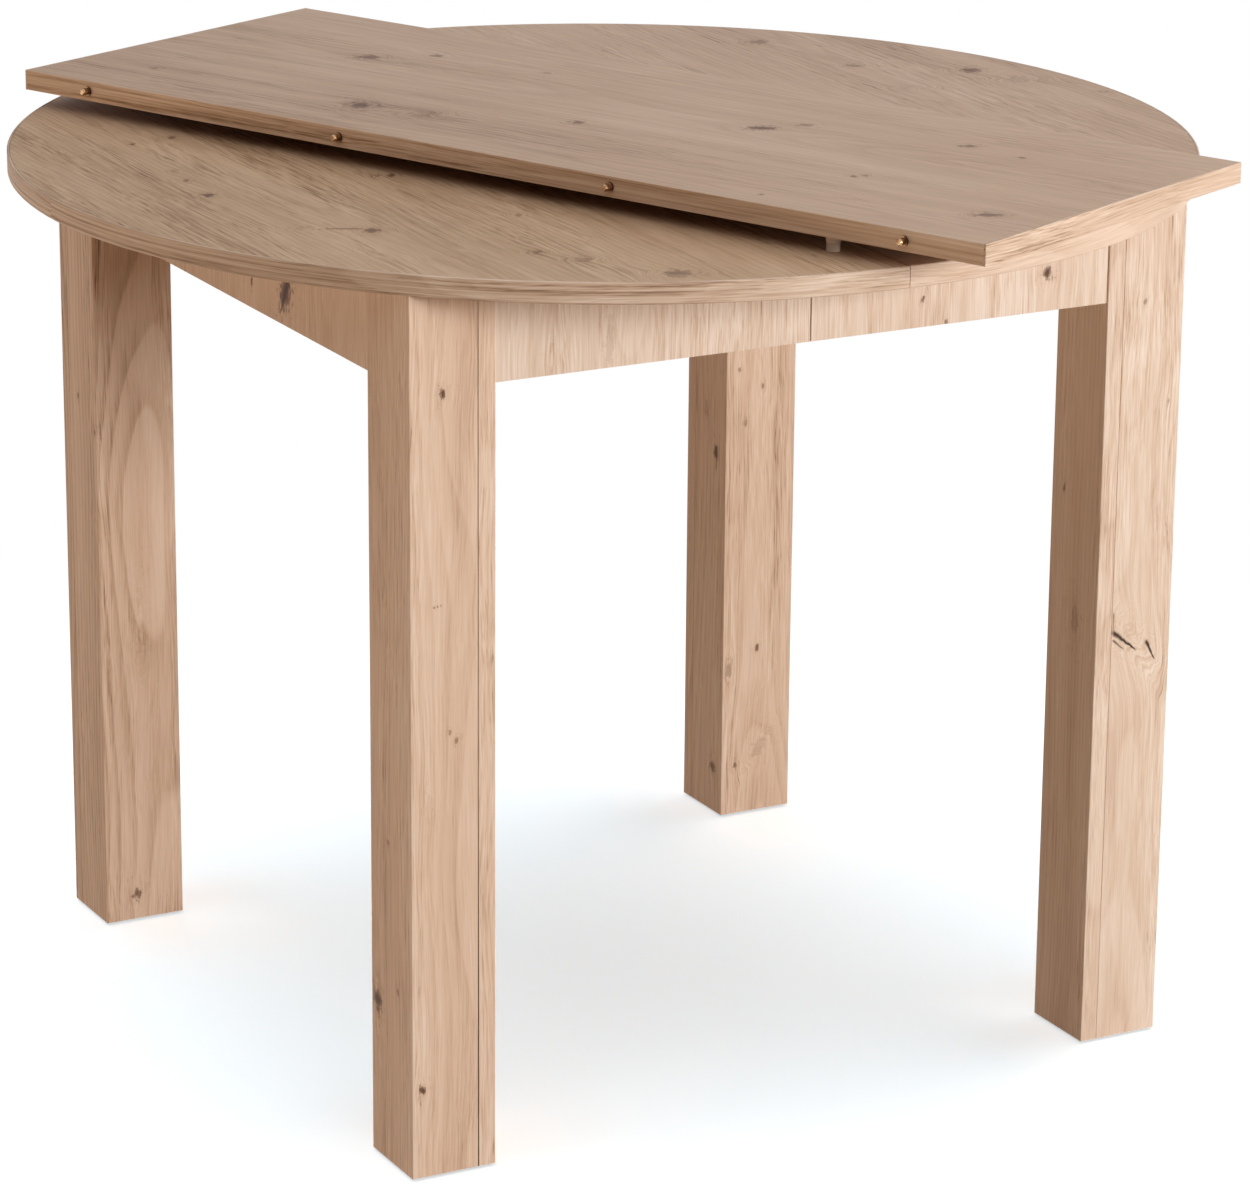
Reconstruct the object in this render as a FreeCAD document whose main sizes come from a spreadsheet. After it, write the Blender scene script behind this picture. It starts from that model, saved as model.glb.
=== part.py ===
import FreeCAD, Part
import math
import os
import re

import Sketcher
from FreeCAD import Placement, Rotation, Vector

# Round dining table whose top, aprons and leg frame split on the plane X = 0.
# Millimetres, Z up. Front is -Y and left is -X. The loose leaf lies turned on the closed top.
# Pieces are placed about the middle of the round top. The leaf reaches out past it at the front,
# so the finished parts are set back to bring the middle of the whole outline over the origin.

doc = FreeCAD.newDocument("round_extension_table")
sheet = doc.addObject("Spreadsheet::Sheet", "Sizes")

DRIVING_SIZES = {
    # Top and leaf
    "table_diameter": 1040,
    "table_height": 775,
    "board_thickness": 18,
    "band_thickness": 2,
    "arris": 0.7,
    "seam_gap": 0.6,
    "leaf_width": 380,
    "leaf_gap": 14,
    "leaf_angle": -66,
    "leaf_shift_x": -16.6,
    "leaf_shift_y": -44.6,
    # Leg frame
    "leg_rim_inset": 0.4,
    "leg_width": 77,
    "wall_thickness": 16,
    "seam_groove": 0.6,
    "leg_edge_radius": 1,
    "apron_height": 80,
    "apron_setback": 2,
    "apron_seam_gap": 1.4,
    "top_block_height": 90,
    "foot_block_height": 40,
    "block_clearance": 0.2,
    "glide_inset": 16.5,
    "glide_height": 2,
    "glide_pin_radius": 3,
    "glide_pin_length": 12,
    # Locating pins, their sockets and the leaf's stand-off pegs
    "pin_end_inset": 77.5,
    "pin_radius": 3,
    "pin_tip_radius": 2.1,
    "pin_length": 8,
    "pin_tip_length": 1.6,
    "pin_tail": 14,
    "collar_radius": 4.2,
    "collar_height": 1.8,
    "socket_radius": 6,
    "socket_end_wall": 3,
    "pin_clearance": 0.3,
    "peg_radius": 5.6,
    "peg_flange_radius": 6,
    "peg_flange_height": 6.2,
    "peg_tail": 9,
    "peg_tail_radius": 4,
    "peg_inset": 14,
    "peg_end_inset": 156,
    "peg_clearance": 0.2,
    # Extension runners
    "runner_end_gap": 3,
    "runner_side_gap": 49,
    "runner_stagger": 40,
    "runner_width": 26,
    "runner_height": 32,
    "middle_width": 24,
    "dovetail_depth": 8,
    "dovetail_neck": 10,
    "dovetail_base": 16,
    "runner_clearance": 0.4,
    "packing_thickness": 1.5,
    "packing_length": 60,
    "packing_inset": 50,
    # Steel angles and screws
    "angle_flange": 28,
    "angle_thickness": 2,
    "leg_angle_height": 54,
    "top_angle_height": 30,
    "angle_row_pitch": 28,
    "screw_radius": 2,
    "screw_bite": 11,
    "screw_head_radius": 4,
    "screw_head_height": 2.2,
    "screw_hole_clearance": 0.3,
    # Swinging lock under the seam
    "lock_plate_length": 62,
    "keeper_plate_length": 44,
    "lock_plate_width": 46,
    "lock_plate_thickness": 2,
    "lock_plate_inset": 8,
    "lock_screw_edge": 7,
    "lock_pivot_inset": 46,
    "lock_pivot_radius": 4,
    "lock_pivot_clearance": 0.08,
    "lock_head_radius": 7.5,
    "lock_head_height": 2.5,
    "lock_hook_thickness": 3,
    "lock_hook_width": 18,
    "lock_hook_web": 7,
    "lock_play": 0.4,
    "lock_stud_inset": 24,
    "lock_stud_radius": 4,
    "lock_stud_head_radius": 6.5,
    "lock_open_angle": 55,
    "lock_mouth_angle": 30,
    "lock_knob_radius": 6,
    "lock_knob_neck_radius": 3,
    "lock_knob_neck_height": 3.5,
    "lock_knob_flare": 3.5,
    "lock_knob_height": 14,
    "lock_knob_chamfer": 1.5,
    "lock_knob_reach": 30,
}

for row, (alias, value) in enumerate(DRIVING_SIZES.items(), start=1):
    sheet.set("A%d" % row, alias)
    sheet.set("B%d" % row, str(value))
    sheet.setAlias("B%d" % row, alias)
doc.recompute()

# Places that several pieces share, as expressions of the sizes
UNDERSIDE = "(table_height - board_thickness)"
APRON_BOTTOM = "(table_height - board_thickness - apron_height)"
LEG_FACE = "((table_diameter / 2 - leg_rim_inset) / sqrt(2))"
APRON_FACE = "(" + LEG_FACE + " - apron_setback)"
APRON_INNER = "(" + LEG_FACE + " - apron_setback - wall_thickness)"
LEG_INNER = "(" + LEG_FACE + " - leg_width)"
LEG_CENTRE = "(" + LEG_FACE + " - leg_width / 2)"
LEG_HALF = "(leg_width / 2)"
LEG_CAVITY = "(leg_width / 2 - wall_thickness)"
BLOCK_HALF = "(leg_width / 2 - wall_thickness - block_clearance)"
GLIDE_RADIUS = "(leg_width / 2 - glide_inset)"
RUNNER_END = "(" + APRON_INNER + " - angle_flange - runner_end_gap)"
RUNNER_LENGTH = "(2 * " + RUNNER_END + " - runner_stagger)"
RUNNER_MIDDLE_Z = "(table_height - board_thickness - packing_thickness - runner_height / 2)"
OUTER_BAR_FAR = "(" + LEG_INNER + " - runner_side_gap)"
OUTER_BAR_NEAR = "(" + OUTER_BAR_FAR + " - runner_width)"
MIDDLE_FAR = "(" + OUTER_BAR_NEAR + " - runner_clearance)"
MIDDLE_NEAR = "(" + MIDDLE_FAR + " - middle_width)"
INNER_BAR_FAR = "(" + MIDDLE_NEAR + " - runner_clearance)"
INNER_BAR_NEAR = "(" + INNER_BAR_FAR + " - runner_width)"
SOCKET_DEPTH = "(pin_length + pin_clearance + socket_end_wall)"
LOCK_PLATE_BOTTOM = "(table_height - board_thickness - lock_plate_thickness)"
LOCK_REACH = "(lock_pivot_inset + lock_stud_inset)"
LOCK_MOUTH = "(lock_stud_radius + lock_play)"
LOCK_NECK = "(lock_hook_thickness + 2 * lock_play)"

LEFT = -1
RIGHT = 1
FRONT = -1
BACK = 1
SIDE_NAME = {LEFT: "left", RIGHT: "right"}
END_NAME = {FRONT: "front", BACK: "back"}
INWARD_TURN = {(LEFT, FRONT): 0, (RIGHT, FRONT): 90, (RIGHT, BACK): 180, (LEFT, BACK): 270}
COVER_TURN = {(LEFT, FRONT): 0, (RIGHT, FRONT): 180, (RIGHT, BACK): 90, (LEFT, BACK): 90}
UPRIGHT = Vector(0, 0, 1)
FULL_TURN = 360
HALF_TURN = 180
PIN_COUNT = 4
SAME_PLACE = 0.001

nodes = []


def cells(text):
    """Turns the size names in an expression into references to the sheet."""
    return re.sub("[a-z_]+", lambda word: ("Sizes." if word[0] in DRIVING_SIZES else "") + word[0], text)


def size(text):
    """Value of an expression of the sizes, in millimetres or degrees."""
    return float(sheet.evalExpression(cells(text)))


def signed(side, text):
    """The expression itself on the positive side, and its negative on the other."""
    return text if side > 0 else "-" + text


def bind(item, sizes):
    """Binds an object's properties to expressions of the sizes."""
    for name, text in sizes.items():
        item.setExpression(name, cells(text))


def place(item, x="0", y="0", z="0", turn=0):
    """Turns an object about the upright axis and moves it to a bound place."""
    item.Placement = Placement(Vector(), Rotation(UPRIGHT, turn))
    bind(item, {"Placement.Base.x": x, "Placement.Base.y": y, "Placement.Base.z": z})
    return item


def node(item, label):
    """Names an object as a piece of the table."""
    item.Label = label
    nodes.append(item)
    return item


def block(name, low, extent):
    """A rectangular board or plate from its low corner and its extent."""
    board = doc.addObject("Part::Box", name)
    bind(board, dict(zip(("Length", "Width", "Height"), extent)))
    return place(board, *low)


def attached_sketch(body, role):
    """An empty sketch on one of the body's own origin planes."""
    sketch = body.newObject("Sketcher::SketchObject", body.Name + "_outline")
    plane = next(feature for feature in body.Origin.OriginFeatures if feature.Role == role)
    sketch.AttachmentSupport = (plane, [""])
    sketch.MapMode = "FlatFace"
    return sketch


def polygon(body, role, corners):
    """A closed outline whose every corner is bound to the sizes."""
    sketch = attached_sketch(body, role)
    points = [Vector(size(x), size(y), 0) for x, y in corners]
    for number, point in enumerate(points):
        sketch.addGeometry(Part.LineSegment(point, points[(number + 1) % len(points)]))
    for number, corner in enumerate(corners):
        following = (number + 1) % len(corners)
        sketch.addConstraint(Sketcher.Constraint("Coincident", number, 2, following, 1))
        for kind, text in zip(("DistanceX", "DistanceY"), corner):
            rule = sketch.addConstraint(Sketcher.Constraint(kind, -1, 1, number, 1, size(text)))
            sketch.setExpression("Constraints[%d]" % rule, cells(text))
    return sketch


def prism(name, role, corners, depth):
    """A body padded from a polygon on an origin plane."""
    body = doc.addObject("PartDesign::Body", name)
    sketch = polygon(body, role, corners)
    pad = body.newObject("PartDesign::Pad", name + "_pad")
    pad.Profile = sketch
    bind(pad, {"Length": depth})
    body.Tip = pad
    doc.recompute()
    return body


def turn_onto(body, corners, sweep):
    """Adds to a body a form turned about its upright axis from a half section."""
    sketch = polygon(body, "XZ_Plane", corners)
    turning = body.newObject("PartDesign::Revolution", body.Name + "_turning")
    turning.Profile = sketch
    turning.ReferenceAxis = (sketch, ["V_Axis"])
    turning.Midplane = True
    turning.Angle = sweep
    body.Tip = turning
    doc.recompute()
    return body


def turned(name, corners, sweep=FULL_TURN):
    """A body turned about the upright axis, evenly to both sides of its half section."""
    return turn_onto(doc.addObject("PartDesign::Body", name), corners, sweep)


def rounded(body, radius, wanted):
    """Rounds the edges of a body that a test picks out."""
    base = body.Tip
    edges = ["Edge%d" % number for number, edge in enumerate(base.Shape.Edges, start=1) if wanted(edge)]
    rounding = body.newObject("PartDesign::Fillet", body.Name + "_rounding")
    rounding.Base = (base, edges)
    bind(rounding, {"Radius": radius})
    body.Tip = rounding
    doc.recompute()
    return body


def near(first, second):
    """Whether two lengths are the same."""
    return abs(first - second) < SAME_PLACE


def copies(name, master, placements):
    """A group of separate solids, each a copy of a master at its own place."""
    solids = []
    for placement in placements:
        solid = master.Shape.copy()
        solid.Placement = placement
        solids.append(solid)
    group = doc.addObject("Part::Feature", name)
    group.Shape = Part.makeCompound(solids)
    return group


def cut(name, base, tool):
    """A piece with a group of holes taken out of it."""
    piece = doc.addObject("Part::Cut", name)
    piece.Base = base
    piece.Tool = tool
    doc.recompute()
    if piece.Shape.Volume > base.Shape.Volume - tool.Shape.Volume / 2:
        raise ValueError(name + " lost less than its holes hold")
    return piece


def cylinder(name, radius, height, sweep=FULL_TURN):
    """A plain round bar, or a sector of one, standing on the origin."""
    bar = doc.addObject("Part::Cylinder", name)
    bind(bar, {"Radius": radius, "Height": height})
    bar.Angle = sweep
    doc.recompute()
    return bar


def pin_rows():
    """Places of the locating pins along a mating edge, about its middle."""
    end = size("table_diameter / 2 - pin_end_inset")
    return [end * (2 * step / (PIN_COUNT - 1) - 1) for step in range(PIN_COUNT)]


# Masters of the pieces that repeat
pin = turned("pin", [
    ("0", "-pin_tail"),
    ("pin_radius", "-pin_tail"),
    ("pin_radius", "0"),
    ("collar_radius", "0"),
    ("collar_radius", "collar_height"),
    ("pin_radius", "collar_height"),
    ("pin_radius", "pin_length - pin_tip_length"),
    ("pin_tip_radius", "pin_length"),
    ("0", "pin_length"),
])
socket = turned("socket", [
    ("collar_radius + pin_clearance", "0"),
    ("socket_radius", "0"),
    ("socket_radius", "-" + SOCKET_DEPTH),
    ("0", "-" + SOCKET_DEPTH),
    ("0", "-(pin_length + pin_clearance)"),
    ("pin_radius + pin_clearance", "-(pin_length + pin_clearance)"),
    ("pin_radius + pin_clearance", "-(collar_height + pin_clearance)"),
    ("collar_radius + pin_clearance", "-(collar_height + pin_clearance)"),
])
peg = turned("peg", [
    ("0", "peg_tail"),
    ("peg_tail_radius", "peg_tail"),
    ("peg_tail_radius", "0"),
    ("peg_flange_radius", "0"),
    ("peg_flange_radius", "-peg_flange_height"),
    ("peg_radius", "-peg_flange_height"),
    ("peg_radius", "peg_clearance - leaf_gap"),
    ("0", "peg_clearance - leaf_gap"),
])
glide = turned("glide", [
    ("0", "0"),
    (GLIDE_RADIUS + " - glide_height / 2", "0"),
    (GLIDE_RADIUS, "glide_height / 2"),
    (GLIDE_RADIUS, "glide_height"),
    ("glide_pin_radius", "glide_height"),
    ("glide_pin_radius", "glide_height + glide_pin_length"),
    ("0", "glide_height + glide_pin_length"),
])
pin_bore = cylinder("pin_bore", "pin_radius", "pin_tail")
socket_bore = cylinder("socket_bore", "socket_radius", SOCKET_DEPTH)
peg_bore = cylinder("peg_bore", "peg_tail_radius", "peg_tail")
glide_bore = cylinder("glide_bore", "glide_pin_radius", "glide_pin_length")


def screw(name, grip):
    """A hexagon screw for a plate or bar of the given thickness, head up, its seat at the origin."""
    half = "screw_head_radius / 2"
    flat = "screw_head_radius * sqrt(3) / 2"
    head = prism(name, "XY_Plane", [
        ("screw_head_radius", "0"),
        (half, flat),
        ("-" + half, flat),
        ("-screw_head_radius", "0"),
        ("-" + half, "-" + flat),
        (half, "-" + flat),
    ], "screw_head_height")
    tip = "-(%s + screw_bite)" % grip
    return turn_onto(head, [("0", "0"), ("screw_radius", "0"), ("screw_radius", tip), ("0", tip)], FULL_TURN)


angle_screw = screw("angle_screw", "angle_thickness")
runner_screw = screw("runner_screw", "runner_height + packing_thickness")
lock_screw = screw("lock_screw", "lock_plate_thickness")

AXIS_TO = {
    "+X": Rotation(UPRIGHT, Vector(1, 0, 0)),
    "-X": Rotation(UPRIGHT, Vector(-1, 0, 0)),
    "+Y": Rotation(UPRIGHT, Vector(0, 1, 0)),
    "-Y": Rotation(UPRIGHT, Vector(0, -1, 0)),
    "-Z": Rotation(Vector(1, 0, 0), 180),
}


# Half tops: a half-disc board with an edge band round its rim
def half_top(side):
    """One half of the round top, its edge band and its row of pins or sockets."""
    name = SIDE_NAME[side]
    seam = size("seam_gap") / 2 * side
    level = size(UNDERSIDE)
    rim = "(table_diameter / 2)"
    core = "(table_diameter / 2 - band_thickness)"

    def half_round(label, section):
        """Half a turn of a section on this side of the seam."""
        return turned(label, [(signed(side, x), z) for x, z in section], HALF_TURN)

    board = half_round(name + "_board", [
        ("0", "0"),
        (core, "0"),
        (core, "board_thickness"),
        ("0", "board_thickness"),
    ])
    upper = size("board_thickness")

    def upper_seam(edge):
        return all(near(corner.Point.x, 0) and near(corner.Point.z, upper) for corner in edge.Vertexes)

    rounded(board, "arris", upper_seam)
    place(board, signed(side, "(seam_gap / 2)"), "0", UNDERSIDE)
    edge_middle = level + size("board_thickness") / 2
    into_board = AXIS_TO["-X"] if side == LEFT else AXIS_TO["+X"]
    bore = pin_bore if side == LEFT else socket_bore
    bores = copies(
        name + "_board_bores",
        bore,
        [Placement(Vector(seam, y, edge_middle), into_board) for y in pin_rows()],
    )
    node(cut(name + "_bored_board", board, bores), name + "_half_top")

    band = half_round(name + "_band", [
        (core, "0"),
        ("(table_diameter / 2 - arris)", "0"),
        (rim, "arris"),
        (rim, "board_thickness - arris"),
        ("(table_diameter / 2 - arris)", "board_thickness"),
        (core, "board_thickness"),
    ])
    place(band, signed(side, "(seam_gap / 2)"), "0", UNDERSIDE)
    node(band, name + "_top_edge_band")

    master, label = (pin, "left_top_pins") if side == LEFT else (socket, "right_top_sockets")
    row = [Placement(Vector(seam, y, edge_middle), AXIS_TO["+X" if side == LEFT else "-X"]) for y in pin_rows()]
    node(copies(label + "_row", master, row), label)


# Box legs: a folded three-sided shell, a closing board and blocks inside
def leg(side, end):
    """One leg's shell and closing board, turned so that its seam faces as photographed."""
    name = END_NAME[end] + "_" + SIDE_NAME[side] + "_leg"
    seat = (signed(side, LEG_CENTRE), signed(end, LEG_CENTRE), "glide_height")
    turn = COVER_TURN[(side, end)]
    height = UNDERSIDE + " - glide_height"
    shell = prism(name + "_wrap", "XY_Plane", [
        ("-" + LEG_HALF, "-" + LEG_HALF),
        (LEG_CAVITY + " - seam_groove", "-" + LEG_HALF),
        (LEG_CAVITY, "-" + LEG_HALF + " + seam_groove"),
        (LEG_CAVITY, "-" + LEG_CAVITY),
        ("-" + LEG_CAVITY, "-" + LEG_CAVITY),
        ("-" + LEG_CAVITY, LEG_CAVITY),
        (LEG_CAVITY, LEG_CAVITY),
        (LEG_CAVITY, LEG_HALF + " - seam_groove"),
        (LEG_CAVITY + " - seam_groove", LEG_HALF),
        ("-" + LEG_HALF, LEG_HALF),
    ], height)
    half = size(LEG_HALF)

    def outer_upright(edge):
        low, high = edge.Vertexes[0].Point, edge.Vertexes[-1].Point
        return near(low.x, high.x) and near(low.y, high.y) and near(abs(low.x), half) and near(abs(low.y), half)

    rounded(shell, "leg_edge_radius", outer_upright)
    node(place(shell, *seat, turn), name + "_shell")

    cover = prism(name + "_lid", "XY_Plane", [
        (LEG_CAVITY, "-" + LEG_HALF + " + seam_groove"),
        (LEG_CAVITY + " + seam_groove", "-" + LEG_HALF),
        (LEG_HALF, "-" + LEG_HALF),
        (LEG_HALF, LEG_HALF),
        (LEG_CAVITY + " + seam_groove", LEG_HALF),
        (LEG_CAVITY, LEG_HALF + " - seam_groove"),
    ], height)
    rounded(cover, "leg_edge_radius", outer_upright)
    node(place(cover, *seat, turn), name + "_cover")


def leg_insides(side):
    """The blocks in the tops and feet of one half's two legs, and the glides under them."""
    name = SIDE_NAME[side]
    x = size(signed(side, LEG_CENTRE))
    rows = [size(signed(end, LEG_CENTRE)) for end in (FRONT, BACK)]
    width = "2 * " + BLOCK_HALF
    top_block = block(name + "_top_block", ("0", "0", "0"), (width, width, "top_block_height"))
    foot_block = block(name + "_foot_block", ("0", "0", "0"), (width, width, "foot_block_height"))
    doc.recompute()
    half = size(BLOCK_HALF)
    top = size(UNDERSIDE + " - top_block_height")
    foot = size("glide_height")
    tops = copies(name + "_top_blocks", top_block, [Placement(Vector(x - half, y - half, top), Rotation()) for y in rows])
    feet = copies(name + "_feet", foot_block, [Placement(Vector(x - half, y - half, foot), Rotation()) for y in rows])
    under = [Placement(Vector(x, y, foot), Rotation()) for y in rows]
    bored = cut(name + "_bored_feet", feet, copies(name + "_foot_bores", glide_bore, under))
    node(tops, name + "_leg_top_blocks")
    node(bored, name + "_leg_foot_blocks")
    stands = [Placement(Vector(x, y, 0), Rotation()) for y in rows]
    node(copies(name + "_glide_pair", glide, stands), name + "_leg_glides")


# Aprons: split at the seam along X, whole cross rails along Y
def aprons(side):
    """One half's front and back half aprons and its cross rail."""
    length = LEG_INNER + " - apron_seam_gap / 2"
    start = "-" + LEG_INNER if side == LEFT else "apron_seam_gap / 2"
    for end in (FRONT, BACK):
        y = "-" + APRON_FACE if end == FRONT else APRON_INNER
        name = END_NAME[end] + "_" + SIDE_NAME[side] + "_half_apron"
        node(block(name, (start, y, APRON_BOTTOM), (length, "wall_thickness", "apron_height")), name)
    x = "-" + APRON_FACE if side == LEFT else APRON_INNER
    name = SIDE_NAME[side] + "_cross_rail"
    low = (x, "-" + LEG_INNER, APRON_BOTTOM)
    node(block(name, low, ("wall_thickness", "2 * " + LEG_INNER, "apron_height")), name)


# Steel angles: one pair of flanges for the leg corners, a shorter one under the top
def steel_angle(name, height, rows):
    """An angle with its corner on the origin line and a screw hole in each flange per row."""
    flanges = prism(name + "_flanges", "XY_Plane", [
        ("0", "0"),
        ("angle_flange", "0"),
        ("angle_flange", "angle_thickness"),
        ("angle_thickness", "angle_thickness"),
        ("angle_thickness", "angle_flange"),
        ("0", "angle_flange"),
    ], height)
    drill = cylinder(name + "_drill", "screw_radius + screw_hole_clearance", "angle_thickness")
    along = size("(angle_flange + angle_thickness) / 2")
    middle = size(height) / 2
    holes = []
    for rise in rows:
        holes.append(Placement(Vector(along, 0, middle + rise), AXIS_TO["+Y"]))
        holes.append(Placement(Vector(0, along, middle + rise), AXIS_TO["+X"]))
    return cut(name, flanges, copies(name + "_holes", drill, holes))


def angle_places(corner, height, rows):
    """Where one angle and its screws go, from the placement of its corner."""
    lowered = corner.multiply(Placement(Vector(0, 0, -size(height) / 2), Rotation()))
    along = size("(angle_flange + angle_thickness) / 2")
    face = size("angle_thickness")
    screws = []
    for rise in rows:
        screws.append(corner.multiply(Placement(Vector(along, face, rise), AXIS_TO["+Y"])))
        screws.append(corner.multiply(Placement(Vector(face, along, rise), AXIS_TO["+X"])))
    return lowered, screws


LEG_ROWS = [-size("angle_row_pitch") / 2, size("angle_row_pitch") / 2]
TOP_ROWS = [0]
leg_angle = steel_angle("leg_angle", "leg_angle_height", LEG_ROWS)
top_angle = steel_angle("top_angle", "top_angle_height", TOP_ROWS)
UNDER_TOP = Placement(Vector(), Rotation(Vector(0, 1, 0), Vector(0, 0, -1), Vector(-1, 0, 0), "XYZ"))


def frame_angles(side):
    """The angles that join one half's legs to its aprons and its aprons to its top."""
    name = SIDE_NAME[side]
    middle = size(UNDERSIDE + " - apron_height / 2")
    leg_inner, apron_inner = size(LEG_INNER), size(APRON_INNER)
    corners = []
    for end in (FRONT, BACK):
        turn = Rotation(UPRIGHT, INWARD_TURN[(side, end)])
        corners.append(Placement(Vector(side * leg_inner, end * apron_inner, middle), turn))
        corners.append(Placement(Vector(side * apron_inner, end * leg_inner, middle), turn))
    tops = []
    for end, turn in ((FRONT, 0), (BACK, 180)):
        seat = Vector(side * leg_inner / 2, end * apron_inner, size(UNDERSIDE))
        tops.append(Placement(seat, Rotation(UPRIGHT, turn)).multiply(UNDER_TOP))
    for end in (FRONT, BACK):
        seat = Vector(side * apron_inner, end * leg_inner / 2, size(UNDERSIDE))
        tops.append(Placement(seat, Rotation(UPRIGHT, side * 90)).multiply(UNDER_TOP))
    leg_seats = [angle_places(corner, "leg_angle_height", LEG_ROWS) for corner in corners]
    top_seats = [angle_places(corner, "top_angle_height", TOP_ROWS) for corner in tops]
    node(copies(name + "_leg_angle_set", leg_angle, [seat for seat, _ in leg_seats]), name + "_leg_angles")
    node(copies(name + "_top_angle_set", top_angle, [seat for seat, _ in top_seats]), name + "_top_angles")
    screws = [spot for _, row in leg_seats + top_seats for spot in row]
    node(copies(name + "_angle_screw_set", angle_screw, screws), name + "_frame_screws")


# Extension runners: a grooved bar on each half and a dovetailed slide between them
runner_drill = cylinder("runner_drill", "screw_radius + screw_hole_clearance", "runner_height")
packing_drill = cylinder("packing_drill", "screw_radius + screw_hole_clearance", "packing_thickness")


def runner_spots(side, end):
    """Where the two screws of one half's bar go, in plan: in the bar's web, behind the groove."""
    web = "(runner_width - dovetail_depth) / 2"
    row = INNER_BAR_NEAR + " + " + web if side == LEFT else OUTER_BAR_FAR + " - " + web
    outer_end = RUNNER_END + " - packing_inset - packing_length / 2"
    seam_end = "packing_inset + packing_length / 2"
    return [(side * size(x), end * size(row)) for x in (outer_end, seam_end)]


def runner_set(end):
    """The two bars and the middle slide on one side of the table."""
    name = END_NAME[end]
    half = "(runner_height / 2)"
    neck = "(dovetail_neck / 2)"
    base = "(dovetail_base / 2)"
    slope = "((dovetail_base - dovetail_neck) / 2 / dovetail_depth)"
    root = "(%s - %s * runner_clearance - runner_clearance)" % (neck, slope)
    tip = "(%s + %s * (dovetail_depth - runner_clearance) - runner_clearance)" % (neck, slope)
    grooves = {
        "left": [
            (INNER_BAR_NEAR, "-" + half),
            (INNER_BAR_FAR, "-" + half),
            (INNER_BAR_FAR, "-" + neck),
            (INNER_BAR_FAR + " - dovetail_depth", "-" + base),
            (INNER_BAR_FAR + " - dovetail_depth", base),
            (INNER_BAR_FAR, neck),
            (INNER_BAR_FAR, half),
            (INNER_BAR_NEAR, half),
        ],
        "middle": [
            (MIDDLE_NEAR, "-" + half),
            (MIDDLE_FAR, "-" + half),
            (MIDDLE_FAR, "-" + root),
            (MIDDLE_FAR + " + dovetail_depth", "-" + tip),
            (MIDDLE_FAR + " + dovetail_depth", tip),
            (MIDDLE_FAR, root),
            (MIDDLE_FAR, half),
            (MIDDLE_NEAR, half),
            (MIDDLE_NEAR, root),
            (MIDDLE_NEAR + " - dovetail_depth", tip),
            (MIDDLE_NEAR + " - dovetail_depth", "-" + tip),
            (MIDDLE_NEAR, "-" + root),
        ],
        "right": [
            (OUTER_BAR_NEAR, "-" + half),
            (OUTER_BAR_FAR, "-" + half),
            (OUTER_BAR_FAR, half),
            (OUTER_BAR_NEAR, half),
            (OUTER_BAR_NEAR, neck),
            (OUTER_BAR_NEAR + " + dovetail_depth", base),
            (OUTER_BAR_NEAR + " + dovetail_depth", "-" + base),
            (OUTER_BAR_NEAR, "-" + neck),
        ],
    }
    middle_start = "-" + RUNNER_LENGTH + " / 2"
    starts = {
        "left": middle_start + " - runner_stagger / 2",
        "middle": middle_start,
        "right": middle_start + " + runner_stagger / 2",
    }
    bottom = size(RUNNER_MIDDLE_Z + " - runner_height / 2")
    for member, section in grooves.items():
        label = "%s_%s_runner" % (name, member)
        outline = [(signed(end, "(" + y + ")"), z) for y, z in section]
        bar = prism(label + "_bar", "YZ_Plane", outline, RUNNER_LENGTH)
        place(bar, starts[member], "0", RUNNER_MIDDLE_Z)
        if member != "middle":
            side = LEFT if member == "left" else RIGHT
            holes = [Placement(Vector(x, y, bottom), Rotation()) for x, y in runner_spots(side, end)]
            bar = cut(label + "_drilled", bar, copies(label + "_holes", runner_drill, holes))
        node(bar, label)


def runner_fixings(side):
    """The packing plates over one half's bars and the screws that hold the bars up."""
    name = SIDE_NAME[side]
    plate = block(name + "_packing", ("0", "0", "0"), ("packing_length", "runner_width", "packing_thickness"))
    doc.recompute()
    length, width = size("packing_length"), size("runner_width")
    level = size(UNDERSIDE + " - packing_thickness")
    seat = size(RUNNER_MIDDLE_Z + " - runner_height / 2")
    near_face = size(INNER_BAR_NEAR if side == LEFT else OUTER_BAR_NEAR)
    plates, holes, screws = [], [], []
    for end in (FRONT, BACK):
        low = near_face if end == BACK else -near_face - width
        for x, y in runner_spots(side, end):
            plates.append(Placement(Vector(x - length / 2, low, level), Rotation()))
            holes.append(Placement(Vector(x, y, level), Rotation()))
            screws.append(Placement(Vector(x, y, seat), AXIS_TO["-Z"]))
    drilled = cut(
        name + "_packing_drilled",
        copies(name + "_packing_set", plate, plates),
        copies(name + "_packing_holes", packing_drill, holes),
    )
    node(drilled, name + "_runner_packing")
    node(copies(name + "_runner_screw_set", runner_screw, screws), name + "_runner_screws")


# Leaf: built about its own middle, then turned and laid on the closed top
LEAF_SEAT = Placement(
    Vector(size("leaf_shift_x"), size("leaf_shift_y"), size("table_height + leaf_gap")),
    Rotation(UPRIGHT, size("leaf_angle")),
)


def on_leaf(item):
    """Lays a piece made in the leaf's own frame on the table."""
    return place(item, "leaf_shift_x", "leaf_shift_y", "table_height + leaf_gap", size("leaf_angle"))


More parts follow.
